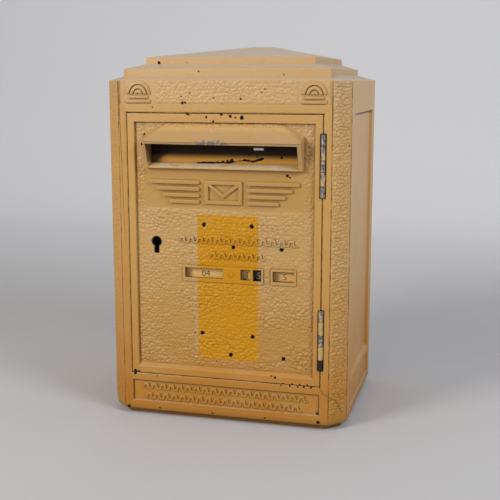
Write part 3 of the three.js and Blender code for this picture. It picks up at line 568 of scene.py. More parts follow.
def corner_fans(material):
    """A fan of arches on a base line in each end field of the frieze."""
    bm = bmesh.new()
    front, back = -0.3, FRIEZE["floor"] + 1
    low = 510.5
    for left, right in FAN_FIELDS:
        centre = (left + right) / 2
        reach = (right - left) / 2
        raised(bm, bar(centre - reach, centre + reach, low, low + 4.2), front, back, 0.6)
        raised(bm, bar(centre - reach + 4, centre + reach - 4, low + 7.2, low + 10.8), front, back, 0.6)
        for k in range(3):
            outer = reach - k * 6.8
            raised(bm, arch(centre, low + 13.8, outer, outer - 4.0), front, back, 0.6)
    add_piece("frieze_fans", bm, "body", material)


def base_meanders(material):
    """Two bands in the panel below the door."""
    bm = bmesh.new()
    front, back = BASE_PANEL["floor"] - 1.5, BASE_PANEL["floor"] + 1
    for band in BASE_BANDS:
        raised(bm, meander(*band, 2.9), front, back, 0.9)
    add_piece("base_meanders", bm, "body", material)


# ---- Figures on the drums ----
AXLE = {"y": 35.6, "z": 236.7}
DRUM_FLAT = 20.9
DRUMS = {
    "day_drum": {"centre": -33.3, "faces": ["04", "05", "06", "07", "01", "02", "03", "00"], "size": 11.0},
    "hour_tens_drum": {"centre": 36.2, "faces": list("1234567890"), "size": 12.0},
    "hour_units_drum": {"centre": 55.2, "faces": list("5678901234"), "size": 12.0},
    "minute_drum": {"centre": 98.4, "faces": list("5678901234"), "size": 10.5},
}


def glyph_mesh(text, size):
    """A thin flat mesh of one number, centred on its origin in its own XY plane, in metres."""
    look = {"size": size * MM * 1.35, "extrude": 0.05 * MM, "resolution_u": 3}
    curve = configure(bpy.data.curves.new("figure", "FONT"), body=text, **look)
    holder = add_object("figure", curve)
    bpy.context.view_layer.update()
    evaluated = holder.evaluated_get(bpy.context.evaluated_depsgraph_get())
    mesh = bpy.data.meshes.new_from_object(evaluated)
    bpy.data.objects.remove(holder)
    points = np.array([v.co for v in mesh.vertices])
    middle = (points.min(0) + points.max(0)) / 2
    mesh.transform(Matrix.Translation(-Vector(middle)))
    return mesh


def drum_figures(name, material):
    """All numbers of one drum, one on each flat face."""
    drum = DRUMS[name]
    bm = bmesh.new()
    count = len(drum["faces"])
    stand = Matrix.Rotation(math.radians(90), 4, "X")
    for k, text in enumerate(drum["faces"]):
        glyph = glyph_mesh(text, drum["size"])
        out = Matrix.Translation(Vector((0, -(DRUM_FLAT + 0.06) * MM, 0)))
        turn = Matrix.Rotation(2 * math.pi * k / count, 4, "X")
        centre = Matrix.Translation(place(drum["centre"], AXLE["y"], AXLE["z"]))
        glyph.transform(centre @ turn @ out @ stand)
        bm.from_mesh(glyph)
        bpy.data.meshes.remove(glyph)
    add_piece(f"{name}_figures", bm, name, material)


# ---- Materials ----
class Field:
    """A value that changes over a surface. Arithmetic on it adds nodes to the graph of its material."""

    def __init__(self, graph, socket):
        self.graph = graph
        self.socket = socket

    def __add__(self, other):
        return self.graph.math("ADD", self, other)

    def __sub__(self, other):
        return self.graph.math("SUBTRACT", self, other)

    def __rsub__(self, other):
        return self.graph.math("SUBTRACT", other, self)

    def __mul__(self, other):
        return self.graph.math("MULTIPLY", self, other)

    def __abs__(self):
        return self.graph.math("ABSOLUTE", self)

    def at_least(self, other):
        return self.graph.math("MAXIMUM", self, other)

    def at_most(self, other):
        return self.graph.math("MINIMUM", self, other)

    def step(self, start, full):
        """0 at start and 1 at full, whichever of the two is larger, with a smooth change between them."""
        rising = start < full
        inputs = {"Value": self, "From Min": min(start, full), "From Max": max(start, full)}
        inputs.update({"To Min": 0.0 if rising else 1.0, "To Max": 1.0 if rising else 0.0})
        node = self.graph.add("ShaderNodeMapRange", inputs, interpolation_type="SMOOTHSTEP")
        return Field(self.graph, node.outputs[0])

    def within(self, low, high, soft):
        """1 between two values, with soft ends."""
        return self.step(low - soft, low + soft) * self.step(high + soft, high - soft)


def smallest(fields):
    return functools.reduce(Field.at_most, fields)


def largest(fields):
    return functools.reduce(Field.at_least, fields)


def length(a, b):
    """The length of a vector with two coordinates."""
    return a.graph.math("SQRT", a * a + b * b)


class Graph:
    """Builds the node graph of one material."""

    def __init__(self, name):
        self.material = bpy.data.materials.new(name)
        self.material.use_nodes = True
        self.tree = self.material.node_tree
        self.tree.nodes.clear()
        self.shader = self.add("ShaderNodeBsdfPrincipled")
        self.add("ShaderNodeOutputMaterial", {"Surface": self.shader.outputs[0]})
        self.position = self.add("ShaderNodeTexCoord").outputs["Object"]
        self.x, self.y, self.z = self.coordinates(self.position)

    def add(self, kind, inputs=None, **settings):
        """Adds a node, with its settings and with the values or fields of its inputs."""
        node = configure(self.tree.nodes.new(kind), **settings)
        for key, value in (inputs or {}).items():
            self.feed(node.inputs[key], value)
        return node

    def feed(self, socket, value):
        if isinstance(value, Field):
            value = value.socket
        if isinstance(value, bpy.types.NodeSocket):
            self.tree.links.new(value, socket)
        else:
            socket.default_value = value

    def surface(self, **values):
        """Gives the shader its inputs. An underscore stands for the space in an input's name."""
        for key, value in values.items():
            self.feed(self.shader.inputs[key.replace("_", " ")], value)

    def coordinates(self, vector):
        split = self.add("ShaderNodeSeparateXYZ", {0: vector})
        return [Field(self, output) for output in split.outputs]

    def depths(self, start, full):
        """A step between two depths behind the front face, in casting millimetres."""
        return self.y.step(depth(start), depth(full))

    def heights(self, low, high, soft):
        """1 between two heights in casting millimetres, with ends that are soft over some metres."""
        return self.z.within(level(low), level(high), soft)

    def normal(self):
        return self.coordinates(self.add("ShaderNodeNewGeometry").outputs["Normal"])

    def math(self, operation, a, b=0.0, c=0.0, clamp=False):
        node = self.add("ShaderNodeMath", {0: a, 1: b, 2: c}, operation=operation, use_clamp=clamp)
        return Field(self, node.outputs[0])

    def vector_math(self, operation, *values, output="Vector"):
        node = self.add("ShaderNodeVectorMath", dict(enumerate(values)), operation=operation)
        return Field(self, node.outputs[output])

    def mix(self, factor, a, b, blend="MIX"):
        """Mixes two colours, each a field or a plain (red, green, blue)."""
        a, b = (tone if isinstance(tone, Field) else (*tone, 1.0) for tone in (a, b))
        inputs = {"Factor": factor, "A": a, "B": b}
        node = self.add("ShaderNodeMix", inputs, data_type="RGBA", blend_type=blend)
        return Field(self, node.outputs["Result"])

    def layers(self, tone, *layers):
        """Lays colours over a tone in turn. A layer is its mask, its colour and sometimes its blend."""
        for mask, *layer in layers:
            tone = self.mix(mask, tone, *layer)
        return tone

    def noise(self, scale, detail=3.0, roughness=0.55, stretch=(1, 1, 1), offset=0.0):
        """Noise around 0.5; the scale is the number of features in a metre."""
        shift = (offset, offset * 0.7, offset * 1.3)
        moved = self.add("ShaderNodeMapping", {"Scale": stretch, "Location": shift, "Vector": self.position})
        inputs = {"Scale": scale, "Detail": detail, "Roughness": roughness, "Vector": moved.outputs[0]}
        return Field(self, self.add("ShaderNodeTexNoise", inputs).outputs[0])

    def ragged(self, scale, detail, reach, roughness=0.55, offset=0.0):
        """Noise around 0 that makes an edge uneven, as a distance in metres."""
        return (self.noise(scale, detail, roughness, offset=offset) - 0.5) * reach

    def occlusion_shade(self, distance, start=0.78, full=0.35, samples=6):
        """1 in tight inner corners, 0 in the open: ambient occlusion that marks where shade is painted."""
        node = self.add("ShaderNodeAmbientOcclusion", {"Distance": distance}, samples=samples)
        return Field(self, node.outputs["AO"]).step(start, full)

    def bump(self, height, distance, strength=1.0):
        inputs = {"Strength": strength, "Distance": distance, "Height": height}
        self.surface(Normal=self.add("ShaderNodeBump", inputs).outputs[0])


PAINT = (0.585, 0.33, 0.100)
PAINT_LOW = (0.50, 0.212, 0.020)
PAINT_PALE = (0.565, 0.352, 0.156)
PAINT_BRIGHT = (0.62, 0.262, 0.0)
PAINT_SIDE = (0.625, 0.37, 0.155)
CORNER_SHADOW = (0.11, 0.05, 0.02)
# Dark brown for real dirt and for painted shade.
DIRT_AND_SHADE = (0.10, 0.045, 0.015)
BARE = (0.012, 0.010, 0.011)
DUST_AND_SHEEN = (0.52, 0.42, 0.32)
# Near black for the painted shadow of the hood on the flap.
HOOD_SHADOW = (0.018, 0.012, 0.010)
WORN_METAL = (0.17, 0.155, 0.155)
RUBBED = (0.60, 0.48, 0.38)
PALE_SPOT = (0.95, 0.93, 0.90)
# These multiply the paint under them.
SMOOTH_FACE = (0.96, 0.91, 0.76)
HOOD_WEAR_AND_SHADE = (0.80, 0.83, 0.96)
HOOD_END_SHADE = (0.92, 0.90, 0.90)
PANEL_TONE = (0.91, 0.94, 1.0)
SHADED_BAND = (0.92, 0.85, 0.66)
LEFT_FRONT = (0.95, 0.89, 0.78)
LOW_SHADE = (0.93, 0.91, 0.72)

# Places where the paint has chipped off: x, y, z and radius in casting millimetres.
BODY_CHIPS = [
    (-116.8, 38, 573.2, 2.2), (-68.9, 38, 573.5, 0.9), (-42.7, 14, 559.4, 1.0), (94.8, 14, 553.6, 1.0),
    (-65.9, 1, 510.7, 2.0), (-61, 1, 511.5, 1.6), (-52.7, 1, 525.9, 1.2), (-67.3, 1, 520.8, 0.9),
    (-13.5, 1, 518.5, 1.0), (29.8, 1, 517.1, 1.2), (62.8, 1, 527.5, 1.1), (68.6, 1, 531.8, 1.0),
    (-115.2, 0, 503.3, 1.1), (123.7, 0, 468.7, 1.0), (157.7, 0, 4.4, 2.4), (-166.7, 0, 2.2, 2.6),
    (176.3, 0, 447, 1.5), (-154.5, 0, 62.0, 2.4), (96, 0, 61.5, 1.2), (111, 0, 61.8, 1.4),
    (124, 0, 61.4, 1.2), (134, 0, 61.8, 1.5), (145.5, 0, 61.2, 1.4), (-115.7, 0, 59.5, 1.0),
    (195.5, 22.5, 447, 1.6), (195.5, 22.5, 443, 1.4), (200, 278.7, 544.8, 2.5), (155.3, 3, 18.3, 1.8),
    (-111.9, 0, 4.0, 1.2), (-20, 0, 3.0, 1.0), (70, 0, 3.2, 1.2),
]
DOOR_CHIPS = [
    (-54.7, 0, 493, 1.6), (-58, 0, 493, 1.2), (-25.8, 0, 488.9, 1.5), (-1.6, 0, 493.5, 1.6),
    (13.2, 0, 490.7, 2.0), (21.4, 0, 488.6, 1.2), (31.9, 0, 488.7, 2.8), (-14.6, 0, 482.0, 1.6),
    (62.8, 0, 79.5, 1.6), (80.7, 0, 76.4, 1.2), (86.7, 0, 73.9, 2.0), (-24.5, 4, 475.6, 1.2),
    (-99.2, 4, 476.3, 1.0), (-131.7, 4, 460.2, 1.8), (103, 4, 399.6, 2.2), (107, 4, 397, 1.4),
    (-49.9, 4, 163.8, 0.9), (-49.1, 4, 137.8, 1.0), (-50.4, 4, 123.4, 0.9), (-50.6, 4, 108.1, 0.9),
    (90.3, 3, 223.6, 1.1), (64.4, 4, 108.9, 0.9), (50.7, 4, 332, 1.0), (-12.8, 4, 92.2, 0.9),
    (-129, -16, 446.5, 2.2), (-154.0, 0, 66.0, 2.6), (-148.0, 0, 65.4, 1.8), (100, 0, 65, 1.2),
    (115, 0, 65, 1.3), (128, 0, 65, 1.2), (140, 0, 65, 1.1),
]
CHIP_SPREAD = 1.2
FLAP_CHIPS = [
    (91.9, 14, 426.7, 1.8), (62, 14, 424.7, 1.5), (53.3, 14, 428.1, 1.3), (39.7, 14, 429.8, 1.2),
    (11.6, 14, 421.5, 1.9), (4, 14, 419.5, 1.8), (-3, 14, 418.4, 1.7), (-12, 14, 417.6, 1.5),
]


def chips(graph, spots):
    """1 inside an irregular spot round each listed place."""
    wander = graph.add("ShaderNodeTexNoise", {"Scale": 420.0, "Detail": 2.0, "Vector": graph.position})
    swing = 0.0042
    shift = graph.vector_math("MULTIPLY_ADD", wander.outputs["Color"], (swing,) * 3, (-swing / 2,) * 3)
    moved = graph.vector_math("ADD", graph.position, shift)
    edges = []
    for x, y, z, radius in spots:
        away = graph.vector_math("DISTANCE", moved, place(x, y, z), output="Value")
        edges.append(away - radius * CHIP_SPREAD * MM)
    return smallest(edges).step(0.0002, -0.0001)


def keyhole_wear(graph):
    """1 on the edge of the keyhole, where keys have scraped the paint off."""
    dx = graph.x - KEYHOLE["x"] * MM
    dz = graph.z - level(KEYHOLE["z"])
    head = length(dx, dz) - KEYHOLE["radius"] * MM
    beside = abs(dx) - KEYHOLE["tail"] * MM
    below = (KEYHOLE["low"] + 1.0 - KEYHOLE["z"]) * MM - dz
    tail = beside.at_least(below).at_least(dz)
    return (head.at_most(tail) + graph.ragged(300.0, 2.0, 0.0012)).step(0.0018, 0.0011)


def lip_wear(graph):
    """1 where letters have worn the lip of the hood down to the metal."""
    middle, half, soft = -0.015, 0.030, 0.016
    along = abs(graph.x - middle).step(half + soft, half - soft)
    lip = level(HOOD["lip"])
    height = graph.z.step(lip + 0.008, lip - 0.001)
    amount = along * height * graph.depths(-9.0, -15.0)
    return (graph.noise(210.0, 5.0, 0.7, offset=6.0) + amount * 0.32).step(0.72, 0.84)


def slot_shade(graph):
    """1 on the inner faces of the letter slot, which are painted darker as shade."""
    across = abs(graph.x).step((SLOT["half"] + 0.9) * MM, (SLOT["half"] + 0.5) * MM)
    return across * graph.heights(SLOT["low"] + 2.0, SLOT["high"] + 0.2, 0.0004)


def sill_wear(graph):
    """1 on top of the sill, rubbed pale by letters, less towards both ends."""
    top = graph.heights(SILL["low"], SILL["high"], 0.0006) * abs(graph.x).step(0.124, 0.100)
    patches = graph.noise(75.0, 4.0, 0.6, offset=13.0).step(0.30, 0.55)
    return top * graph.depths(-4.2, -2.6) * patches


def smear(graph):
    """1 in a dirty patch to the right of the hood."""
    area = graph.x.within(0.131, 0.141, 0.003) * graph.heights(424.0, 452.0, 0.004)
    return area * graph.noise(190.0, 4.0, 0.65, offset=14.0).step(0.44, 0.60)


def flap_front(graph):
    """1 on the outer face of the flap."""
    return graph.depths(FLAP_FACE + 0.2, FLAP_FACE - 0.2)


def painted_hood_shadow(graph):
    """1 on the upper part of the flap, where the shadow of the hood is painted on."""
    return graph.z.step(level(419.0), level(432.0)) * flap_front(graph)


def flap_corner_shadow(graph):
    """1 in the left corner of the flap, always in the shade of the hood: a painted shadow."""
    corner = graph.x + 0.122 - (graph.z - level(411.0)) * 1.3
    return corner.step(0.004, -0.004) * flap_front(graph)


def flap_pale_spot(graph):
    """1 on a small pale spot near the top of the flap."""
    area = graph.x.within(0.047, 0.063, 0.0003) * graph.heights(437.6, 441.2, 0.0003)
    return area * flap_front(graph)


def side_shadow(graph):
    """The painted shadow line under the upper edge of the side panels."""
    outer = abs(graph.x).step((HALF_WIDTH - 6.5) * MM, (HALF_WIDTH - 5.5) * MM)
    panel = graph.y.within(depth(SIDE_PANEL["front"]), depth(SIDE_PANEL["back"]), 0.0004)
    top = level(SIDE_PANEL["high"])
    return outer * panel * graph.z.within(top - 0.0034, top + 0.0002, 0.0008)


def base_panel_shadow(graph):
    """Painted shadow along the upper and end edges of the panel below the door."""
    half, top = BASE_PANEL["half"] * MM, level(BASE_PANEL["high"])
    recess = graph.depths(0.3, 1.0) * graph.depths(5.0, 4.0)
    across = abs(graph.x)
    height = graph.z.within(level(BASE_PANEL["low"]), top + 0.0004, 0.0003)
    upper = graph.z.step(top - 0.0030, top - 0.0008) * across.step(half + 0.0004, half)
    ends = across.within(half - 0.0018, half + 0.0004, 0.0006) * height
    return upper.at_least(ends) * height * 0.75 * recess


def window_rust_and_shade(graph):
    """The dark inner faces of the four windows: rust, and painted shade."""
    areas = []
    for f in WINDOW_FRAMES:
        across = graph.x.within((f["left"] + 2.0) * MM, (f["right"] - 2.0) * MM, 0.0003)
        areas.append(across * graph.heights(f["low"] + 2.0, f["high"] - 1.5, 0.0003))
    return largest(areas) * graph.depths(3.7, 4.5)


def hood_end_shade(graph):
    """1 on the slanted ends of the hood, painted darker as shade so that they look no brighter than its
    front.
    """
    slanted = abs(graph.normal()[0]).step(0.10, 0.40)
    return slanted * graph.heights(450.0, 484.0, 0.001) * graph.depths(4.5, 3.0)


def distance_to_line(graph, bends):
    """Distance in x and z from a bent line."""
    wander = graph.ragged(90.0, 4.0, 0.004, 0.6, offset=8.0)
    x = graph.x + wander
    z = graph.z - wander
    away = []
    for (x0, z0), (x1, z1) in zip(bends, bends[1:]):
        start, end = place(x0, 0, z0), place(x1, 0, z1)
        run_x, run_z = end.x - start.x, end.z - start.z
        square = run_x ** 2 + run_z ** 2
        dx = x - start.x
        dz = z - start.z
        along = (dx * (run_x / square) + dz * (run_z / square)).at_most(1.0).at_least(0.0)
        away.append(length(dx - along * run_x, dz - along * run_z))
    return smallest(away)


CRACK = [(159.3, 62.5), (165.0, 53.0), (173.0, 48.7), (184.0, 41.0), (193.0, 20.0)]
PEELED = [(-45.0, 415.5), (-8.0, 417.0), (14.0, 418.0), (31.0, 421.5), (47.0, 420.0), (60.0, 424.0)]


def crack(graph):
    """1 along a hairline crack that runs down from the corner of the door opening."""
    return distance_to_line(graph, CRACK).step(0.0008, 0.0002) * graph.depths(40, 30)


def peeled(graph):
    """1 where the paint of the flap has peeled off along its lower edge."""
    width = graph.noise(60.0, 3.0, offset=12.0).step(0.40, 0.62)
    return (distance_to_line(graph, PEELED) - width * 0.0016).step(0.0007, 0.0002)


def corner_grime(graph):
    """Dark, broken lines along both edges of the cut front corners."""
    across = abs(graph.x)
    ragged = graph.ragged(210.0, 4.0, 0.0034, 0.6, offset=4.0)
    lines = []
    for x, y in ((HALF_WIDTH - CORNER_CUT + 0.8, 0.6), (HALF_WIDTH - 0.6, CORNER_CUT - 0.8)):
        away = length(across - x * MM, graph.y - depth(y))
        lines.append((away + ragged).step(0.0014, 0.0004))
    broken = graph.noise(38.0, 3.0, 0.6, offset=11.0).step(0.36, 0.56)
    return largest(lines) * (broken * 0.6 + 0.2)


def bright_patch(graph, outside):
    """1 where a sign has kept the door's paint bright, and 1 on the pale line along its left edge."""
    wobble = graph.ragged(160.0, 3.0, 0.004)
    x = graph.x + wobble
    z = graph.z + wobble
    left, right = BRIGHT_PATCH["left"] * MM, BRIGHT_PATCH["right"] * MM
    low, high = level(BRIGHT_PATCH["low"]), level(BRIGHT_PATCH["high"])
    worn = graph.noise(48.0, 5.0, 0.6, offset=9.0).step(0.60, 0.70)
    patch = x.within(left, right, 0.0012) * outside * z.within(low, high, 0.0012) * (1.0 - worn * 0.3)
    beside = x.within(left - 0.007, left, 0.002) * z.within(low, high, 0.004) * outside
    return patch, beside


def smooth_faces(graph):
    """1 on the smooth front faces, which have kept more of their colour."""
    return graph.y.within(depth(-0.7), depth(0.7), 0.0003)


# Painted shade: the lowest band of the box is darker and more orange.
def low_shade(graph):
    return graph.z.step(FOOT + 0.066, FOOT + 0.050)


def base_tone(graph):
    """The paint with clouds and stains, warmer and darker near the floor and paler near the top: painted
    light, for light that weakens towards the floor and warm light from below.
    """
    return graph.layers(
        graph.mix(graph.z.step(FOOT + 0.33, FOOT), PAINT, PAINT_LOW),
        (graph.z.step(FOOT + 0.42, FOOT + 0.60), PAINT_PALE),
        (graph.noise(11.0, 4.0).step(0.45, 0.75) * 0.35, PAINT_PALE),
        (graph.noise(34.0, 5.0, 0.62, offset=3.0).step(0.52, 0.80) * 0.25, PAINT_LOW),
    )


def door_tone(graph, tone, patch, beside, outside):
    band = graph.heights(WORD_BAND["low"], WORD_BAND["high"] + 6.0, 0.010)
    recess = graph.depths(0.9, 1.5) * outside
    return graph.layers(
        tone,
        (beside * 0.4, PAINT_PALE),
        (patch, PAINT_BRIGHT),
        (smooth_faces(graph), SMOOTH_FACE, "MULTIPLY"),
        (band * recess, SHADED_BAND, "MULTIPLY"),
        (recess, PANEL_TONE, "MULTIPLY"),
        # The jutting hood: paler worn paint, and painted shade that keeps it from looking brighter than the
        # panel.
        (graph.depths(-1.0, -9.0), HOOD_WEAR_AND_SHADE, "MULTIPLY"),
        (low_shade(graph), LOW_SHADE, "MULTIPLY"),
    )


def body_tone(graph, tone):
    side = abs(graph.x).step((HALF_WIDTH - 7.0) * MM, (HALF_WIDTH - 5.2) * MM)
    side = side * graph.depths(CORNER_CUT - 0.5, CORNER_CUT + 0.5)
    left = graph.x.step((1.0 - OPENING["half"]) * MM, (-1.0 - OPENING["half"]) * MM)
    return graph.layers(
        tone,
        (smooth_faces(graph), SMOOTH_FACE, "MULTIPLY"),
        (low_shade(graph), LOW_SHADE, "MULTIPLY"),
        # Paler, cooler paint on the sides, more so higher up: partly weathered paint, partly painted light
        # for the cooler light on the sides.
        (side * graph.z.step(FOOT + 0.05, FOOT + 0.5), PAINT_SIDE),
        # Painted shade on the lowest edge of the body and on the foot.
        (graph.z.step(FOOT + 0.010, FOOT - 0.003) * 0.5, DIRT_AND_SHADE),
        (base_panel_shadow(graph), DIRT_AND_SHADE),
        (left * graph.depths(34, 26), LEFT_FRONT, "MULTIPLY"),
    )


# The flap is painted brighter and more orange than the rest: painted light, for warm light reflected up into
# the slot.
def flap_tone(graph, tone):
    return graph.layers(tone, (0.75, PAINT_BRIGHT), (low_shade(graph), LOW_SHADE, "MULTIPLY"))


def aged_and_shaded(graph, tone, dusty):
    """Specks all over, a pale dusting with painted sheen on upward faces, and painted shade in corners and
    hollows.
    """
    tone = graph.layers(tone, (graph.noise(900.0, 2.0, 0.5).step(0.62, 0.78) * 0.25, DIRT_AND_SHADE))
    if dusty:
        # Paler upward faces: real dusting, and painted sheen of the light from above.
        dust_and_sheen = graph.normal()[2].step(0.55, 0.95) * (graph.noise(28.0, 4.0) * 0.5 + 0.35)
        tone = graph.layers(tone, (dust_and_sheen, DUST_AND_SHEEN))
    # Painted shade: darker paint in tight corners and between the domes of the hammered faces.
    wide, narrow = graph.occlusion_shade(0.0035, 0.99, 0.60), graph.occlusion_shade(0.0045, 0.68, 0.34)
    return graph.layers(tone, (wide * 0.12, DIRT_AND_SHADE), (narrow * 0.52, DIRT_AND_SHADE))


def body_wear_and_shadow(graph, tone):
    # Real dark lines at the cut corners and along the crack, and a painted shadow line under the side
    # panels' upper edge.
    lines = (corner_grime(graph), side_shadow(graph) * 0.85, crack(graph) * 0.9)
    return graph.layers(tone, *[(line, DIRT_AND_SHADE) for line in lines])


def door_wear_and_shade(graph, tone):
    # Real wear and dirt, with painted shade in the slot, in the windows and on the ends of the hood.
    return graph.layers(
        tone,
        (lip_wear(graph), WORN_METAL),
        (slot_shade(graph) * 0.6, DIRT_AND_SHADE),
        (window_rust_and_shade(graph) * 0.9, DIRT_AND_SHADE),
        (hood_end_shade(graph), HOOD_END_SHADE, "MULTIPLY"),
        (sill_wear(graph) * 0.7, RUBBED),
        (smear(graph) * 0.6, DIRT_AND_SHADE),
        (keyhole_wear(graph), BARE),
    )


def flap_shadows_and_spot(graph, tone, flap_shadow):
    # Painted shadows of the hood on the flap, and a pale spot.
    return graph.layers(
        tone,
        (flap_corner_shadow(graph) * 0.95, CORNER_SHADOW),
        (flap_shadow * 0.98, HOOD_SHADOW),
        (flap_pale_spot(graph), PALE_SPOT),
    )


def paint(name, spots, part):
    """Old faded yellow paint on the body, the door or the flap."""
    graph = Graph(name)
    tone = base_tone(graph)
    bare = dull = chips(graph, spots)
    if part == "body":
        tone = body_wear_and_shadow(graph, aged_and_shaded(graph, body_tone(graph, tone), True))
    if part == "door":
        outside = graph.depths(8.5, 7.5)
        patch, beside = bright_patch(graph, outside)
        tone = door_tone(graph, tone, patch, beside, outside)
        tone = door_wear_and_shade(graph, aged_and_shaded(graph, tone, False))
        dull = bare.at_least(patch * 0.4)
    if part == "flap":
        # Painted shadow of the hood on the upper flap, which also takes away its sheen.
        flap_shadow = painted_hood_shadow(graph)
        tone = flap_shadows_and_spot(graph, aged_and_shaded(graph, flap_tone(graph, tone), False), flap_shadow)
        bare = (bare * flap_front(graph)).at_least(peeled(graph) * flap_front(graph))
        dull = bare.at_least(flap_shadow)
    graph.surface(
        Base_Color=graph.mix(bare, tone, BARE),
        Roughness=graph.noise(60.0, 3.0, offset=5.0) * 0.20 + 0.34,
        Specular_IOR_Level=graph.math("MULTIPLY_ADD", dull, -0.42, 0.46),
    )
    fine = graph.noise(520.0, 3.0, 0.6) * 0.35 + graph.noise(130.0, 2.0, offset=2.0)
    graph.bump(fine - bare * 1.2, 0.0005, 0.7)
    return graph.material


def metal(name, base, other, rough, scale=180.0, metallic=1.0):
    """Plain metal with uneven tarnish."""
    graph = Graph(name)
    blotch = graph.noise(scale, 4.0, 0.6).step(0.38, 0.66)
    graph.surface(
        Base_Color=graph.mix(blotch, base, other),
        Metallic=metallic,
        Roughness=graph.noise(scale * 1.7, 3.0) * 0.3 + (rough - 0.15),
    )
    graph.bump(graph.noise(scale * 4, 3.0), 0.0001, 0.5)
    return graph.material


def hinge_steel():
    """Worn steel with remains of paint, different on every knuckle, and painted shade in its corners and in
    the gaps between the knuckles.
    """
    graph = Graph("hinge_steel")
    tarnish = graph.noise(240.0, 4.0).step(0.35, 0.65)
    cover = graph.noise(110.0, 4.0, 0.65, (1.0, 1.0, 0.45), offset=7.0)
    more_paint = {1: 0.14, 3: 0.09}
    gaps = []
    for low in HINGES:
        for k in range(1, len(KNUCKLES)):
            z = low + sum(KNUCKLES[:k])
            gaps.append(graph.heights(z - 0.45, z + 0.45, 0.0003))
            if k in more_paint:
                knuckle = graph.heights(z, z + KNUCKLES[k], 0.0002)
                cover = cover + knuckle * more_paint[k]
    upper = graph.z.step(level(300.0), level(301.0))
    first_gap = HINGES[0] + KNUCKLES[0]
    lowest = graph.z.step(level(first_gap), level(first_gap - 1))
    cover = cover - upper * 0.07 - lowest * 0.2
    rest = cover.step(0.54, 0.58)
    base = graph.layers(
        graph.mix(tarnish, (0.50, 0.46, 0.44), (0.17, 0.13, 0.12)),
        (lowest, (0.05, 0.042, 0.04)),
        (rest, (0.56, 0.35, 0.13)),
        # Painted shade in the corners and in the gaps between the knuckles.
        (graph.occlusion_shade(0.002) * 0.9, (0.03, 0.02, 0.015)),
        (largest(gaps), (0.015, 0.01, 0.008)),
    )
    graph.surface(
        Base_Color=base,
        Metallic=graph.math("SUBTRACT", 0.9, rest, clamp=True),
        Roughness=rest * 0.25 + 0.38,
    )
    graph.bump(graph.noise(400.0, 3.0), 0.0002, 0.6)
    return graph.material


def enamel(name, base, other):
    """Aged enamel of a drum."""
    graph = Graph(name)
    spot = graph.noise(220.0, 4.0, 0.6).step(0.45, 0.75)
    graph.surface(Base_Color=graph.mix(spot, base, other), Roughness=graph.noise(90.0, 2.0) * 0.2 + 0.35)
    graph.bump(graph.noise(600.0, 2.0), 0.00008, 0.4)
    return graph.material


def glass():
    """The thin clear pane behind the windows, a little dusty."""
    graph = Graph("window_glass")
    dusty = graph.noise(70.0, 4.0).step(0.4, 0.8)
    graph.surface(
        Base_Color=graph.mix(dusty, (0.75, 0.76, 0.75), (0.62, 0.58, 0.5)),
        Alpha=dusty * 0.02 + 0.008,
        Roughness=0.12,
        Specular_IOR_Level=0.2,
    )
    return graph.material


def dress_nodes(materials):
    """Gives every CAD node the material of its name, or else of its slot."""
    slots = {row["node"]: row["material_slot"] for row in frame["record"]["subparts"]}
    for node, piece in NODES.items():
        key = node if node in materials else slots[node]
        piece.data.materials.clear()
        piece.data.materials.append(materials[key])


# ---- Stage ----
def backdrop():
    """A pale floor that curves up into a paler wall far behind the box."""
    graph = Graph("pale_backdrop")
    tone = graph.mix(graph.noise(3.0, 2.0), (0.52, 0.50, 0.49), (0.56, 0.54, 0.53))
    tone = graph.mix(graph.y.step(0.5, 2.0), tone, (0.82, 0.80, 0.80))
    graph.surface(Base_Color=tone, Roughness=0.9)
    half, front, back, radius, height = 4.5, -4.5, 1.7, 0.5, 4.0
    steps = 16
    profile = [(front, 0.0)]
    for k in range(steps + 1):
        angle = math.radians(90 * k / steps)
        profile.append((back + radius * math.sin(angle), radius - radius * math.cos(angle)))
    profile.append((back + radius, height))
    bm = bmesh.new()
    rows = [[bm.verts.new((x, y, z)) for x in (-half, half)] for y, z in profile]
    for a, b in zip(rows, rows[1:]):
        bm.faces.new([a[0], a[1], b[1], b[0]]).smooth = True
    add_object("backdrop", new_mesh("backdrop", bm, graph.material))


LIGHTS = {
    "key": ((-1.6, -2.2, 1.55), {"size": 1.0, "energy": 46.5, "color": (1.0, 0.985, 0.96)}),
    "top": ((0.1, 0.1, 2.4), {"size": 1.6, "energy": 4.0, "color": (0.97, 0.98, 1.0)}),
    "right": ((2.2, -1.3, 2.0), {"size": 1.0, "energy": 42.0, "color": (0.82, 0.90, 1.0)}),
}
LIGHT_TARGET = Vector((0.0, 0.0, 0.30))
ROOM = {"Color": (0.93, 0.96, 1.0, 1.0), "Strength": 0.36}
CAMERA = {"location": (0.41452, -1.53153, 0.55591), "turn": 14.83, "down": 10.39, "lens": 66.727}


def lighting():
    world = bpy.data.worlds.new("room")
    world.use_nodes = True
    for key, value in ROOM.items():
        world.node_tree.nodes["Background"].inputs[key].default_value = value
    bpy.context.scene.world = world
    for name, (location, look) in LIGHTS.items():
        light = configure(bpy.data.lights.new(name, "AREA"), **look)
        turn = (LIGHT_TARGET - Vector(location)).to_track_quat("-Z", "Y").to_euler()
        configure(add_object(name, light), location=location, rotation_euler=turn)


def camera():
    data = configure(bpy.data.cameras.new("camera"), lens=CAMERA["lens"], sensor_width=36.0)
    turn = (math.radians(90 - CAMERA["down"]), 0.0, math.radians(CAMERA["turn"]))
    holder = configure(add_object("camera", data), location=CAMERA["location"], rotation_euler=turn)
    bpy.context.scene.camera = holder


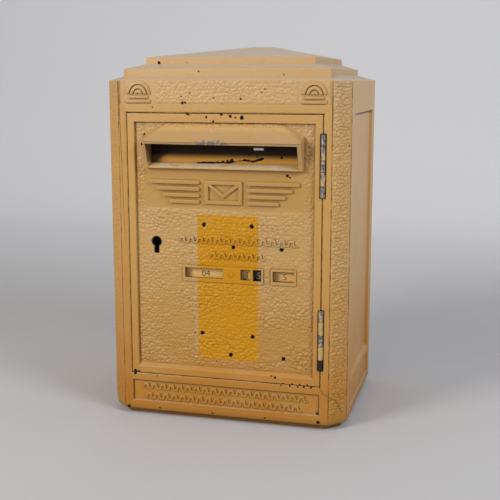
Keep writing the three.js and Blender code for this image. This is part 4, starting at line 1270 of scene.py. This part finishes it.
# ---- The model ----
camera()
lighting()
backdrop()
bpy.context.scene.view_settings.view_transform = "Standard"

body_paint = paint("body_paint", BODY_CHIPS, "body")
worn_holes = [(x, SHEET_LEVEL - 0.8, z, 2.9) for x, z in DRILLED]
door_paint = paint("door_paint", DOOR_CHIPS + worn_holes, "door")
flap_paint = paint("flap_paint", FLAP_CHIPS, "flap")
dark_figures = enamel("dark_figures", (0.09, 0.05, 0.03), (0.14, 0.08, 0.05))
pale_figures = enamel("pale_figures", (0.55, 0.5, 0.4), (0.4, 0.35, 0.27))
black_steel = metal("black_steel", (0.012, 0.011, 0.011), (0.03, 0.024, 0.02), 0.7, 90.0, 0.3)
dress_nodes({
    "faded_yellow_paint": body_paint,
    "door_casting": door_paint,
    "slot_flap": flap_paint,
    "back_sheet": metal("back_sheet", (0.22, 0.20, 0.17), (0.30, 0.27, 0.23), 0.6, 40.0, 0.0),
    "zinc_steel": metal("zinc_steel", (0.46, 0.46, 0.45), (0.38, 0.37, 0.36), 0.45, 60.0),
    "hinge_steel": hinge_steel(),
    "steel": metal("steel", (0.40, 0.39, 0.37), (0.30, 0.28, 0.26), 0.42, 90.0),
    **{part: black_steel for part in ("lock_case", "lock_cover", "lock_lever", "lever_spring", "lever_pin")},
    "brass": metal("brass", (0.55, 0.41, 0.16), (0.32, 0.22, 0.09), 0.4),
    # The drum faces are painted brighter than the door's paint: painted light that makes up for the shade in
    # the windows.
    "drum_enamel": enamel("drum_enamel", (0.96, 0.56, 0.15), (0.86, 0.47, 0.11)),
    "hour_units_drum": enamel("black_enamel", (0.02, 0.02, 0.022), (0.05, 0.045, 0.04)),
    "window_glass": glass(),
})
refine("body_casting", 0.8)
refine("door_casting", 0.7)

door_sheet(door_paint)
hood_skin(door_paint)
frieze_sheet(body_paint)
for side in (-1, 1):
    corner_sheet(side, body_paint)
door_emblem(door_paint)
door_meanders(door_paint)
paint_beads(body_paint)
corner_fans(body_paint)
base_meanders(body_paint)
for name in DRUMS:
    drum_figures(name, pale_figures if name == "hour_units_drum" else dark_figures)
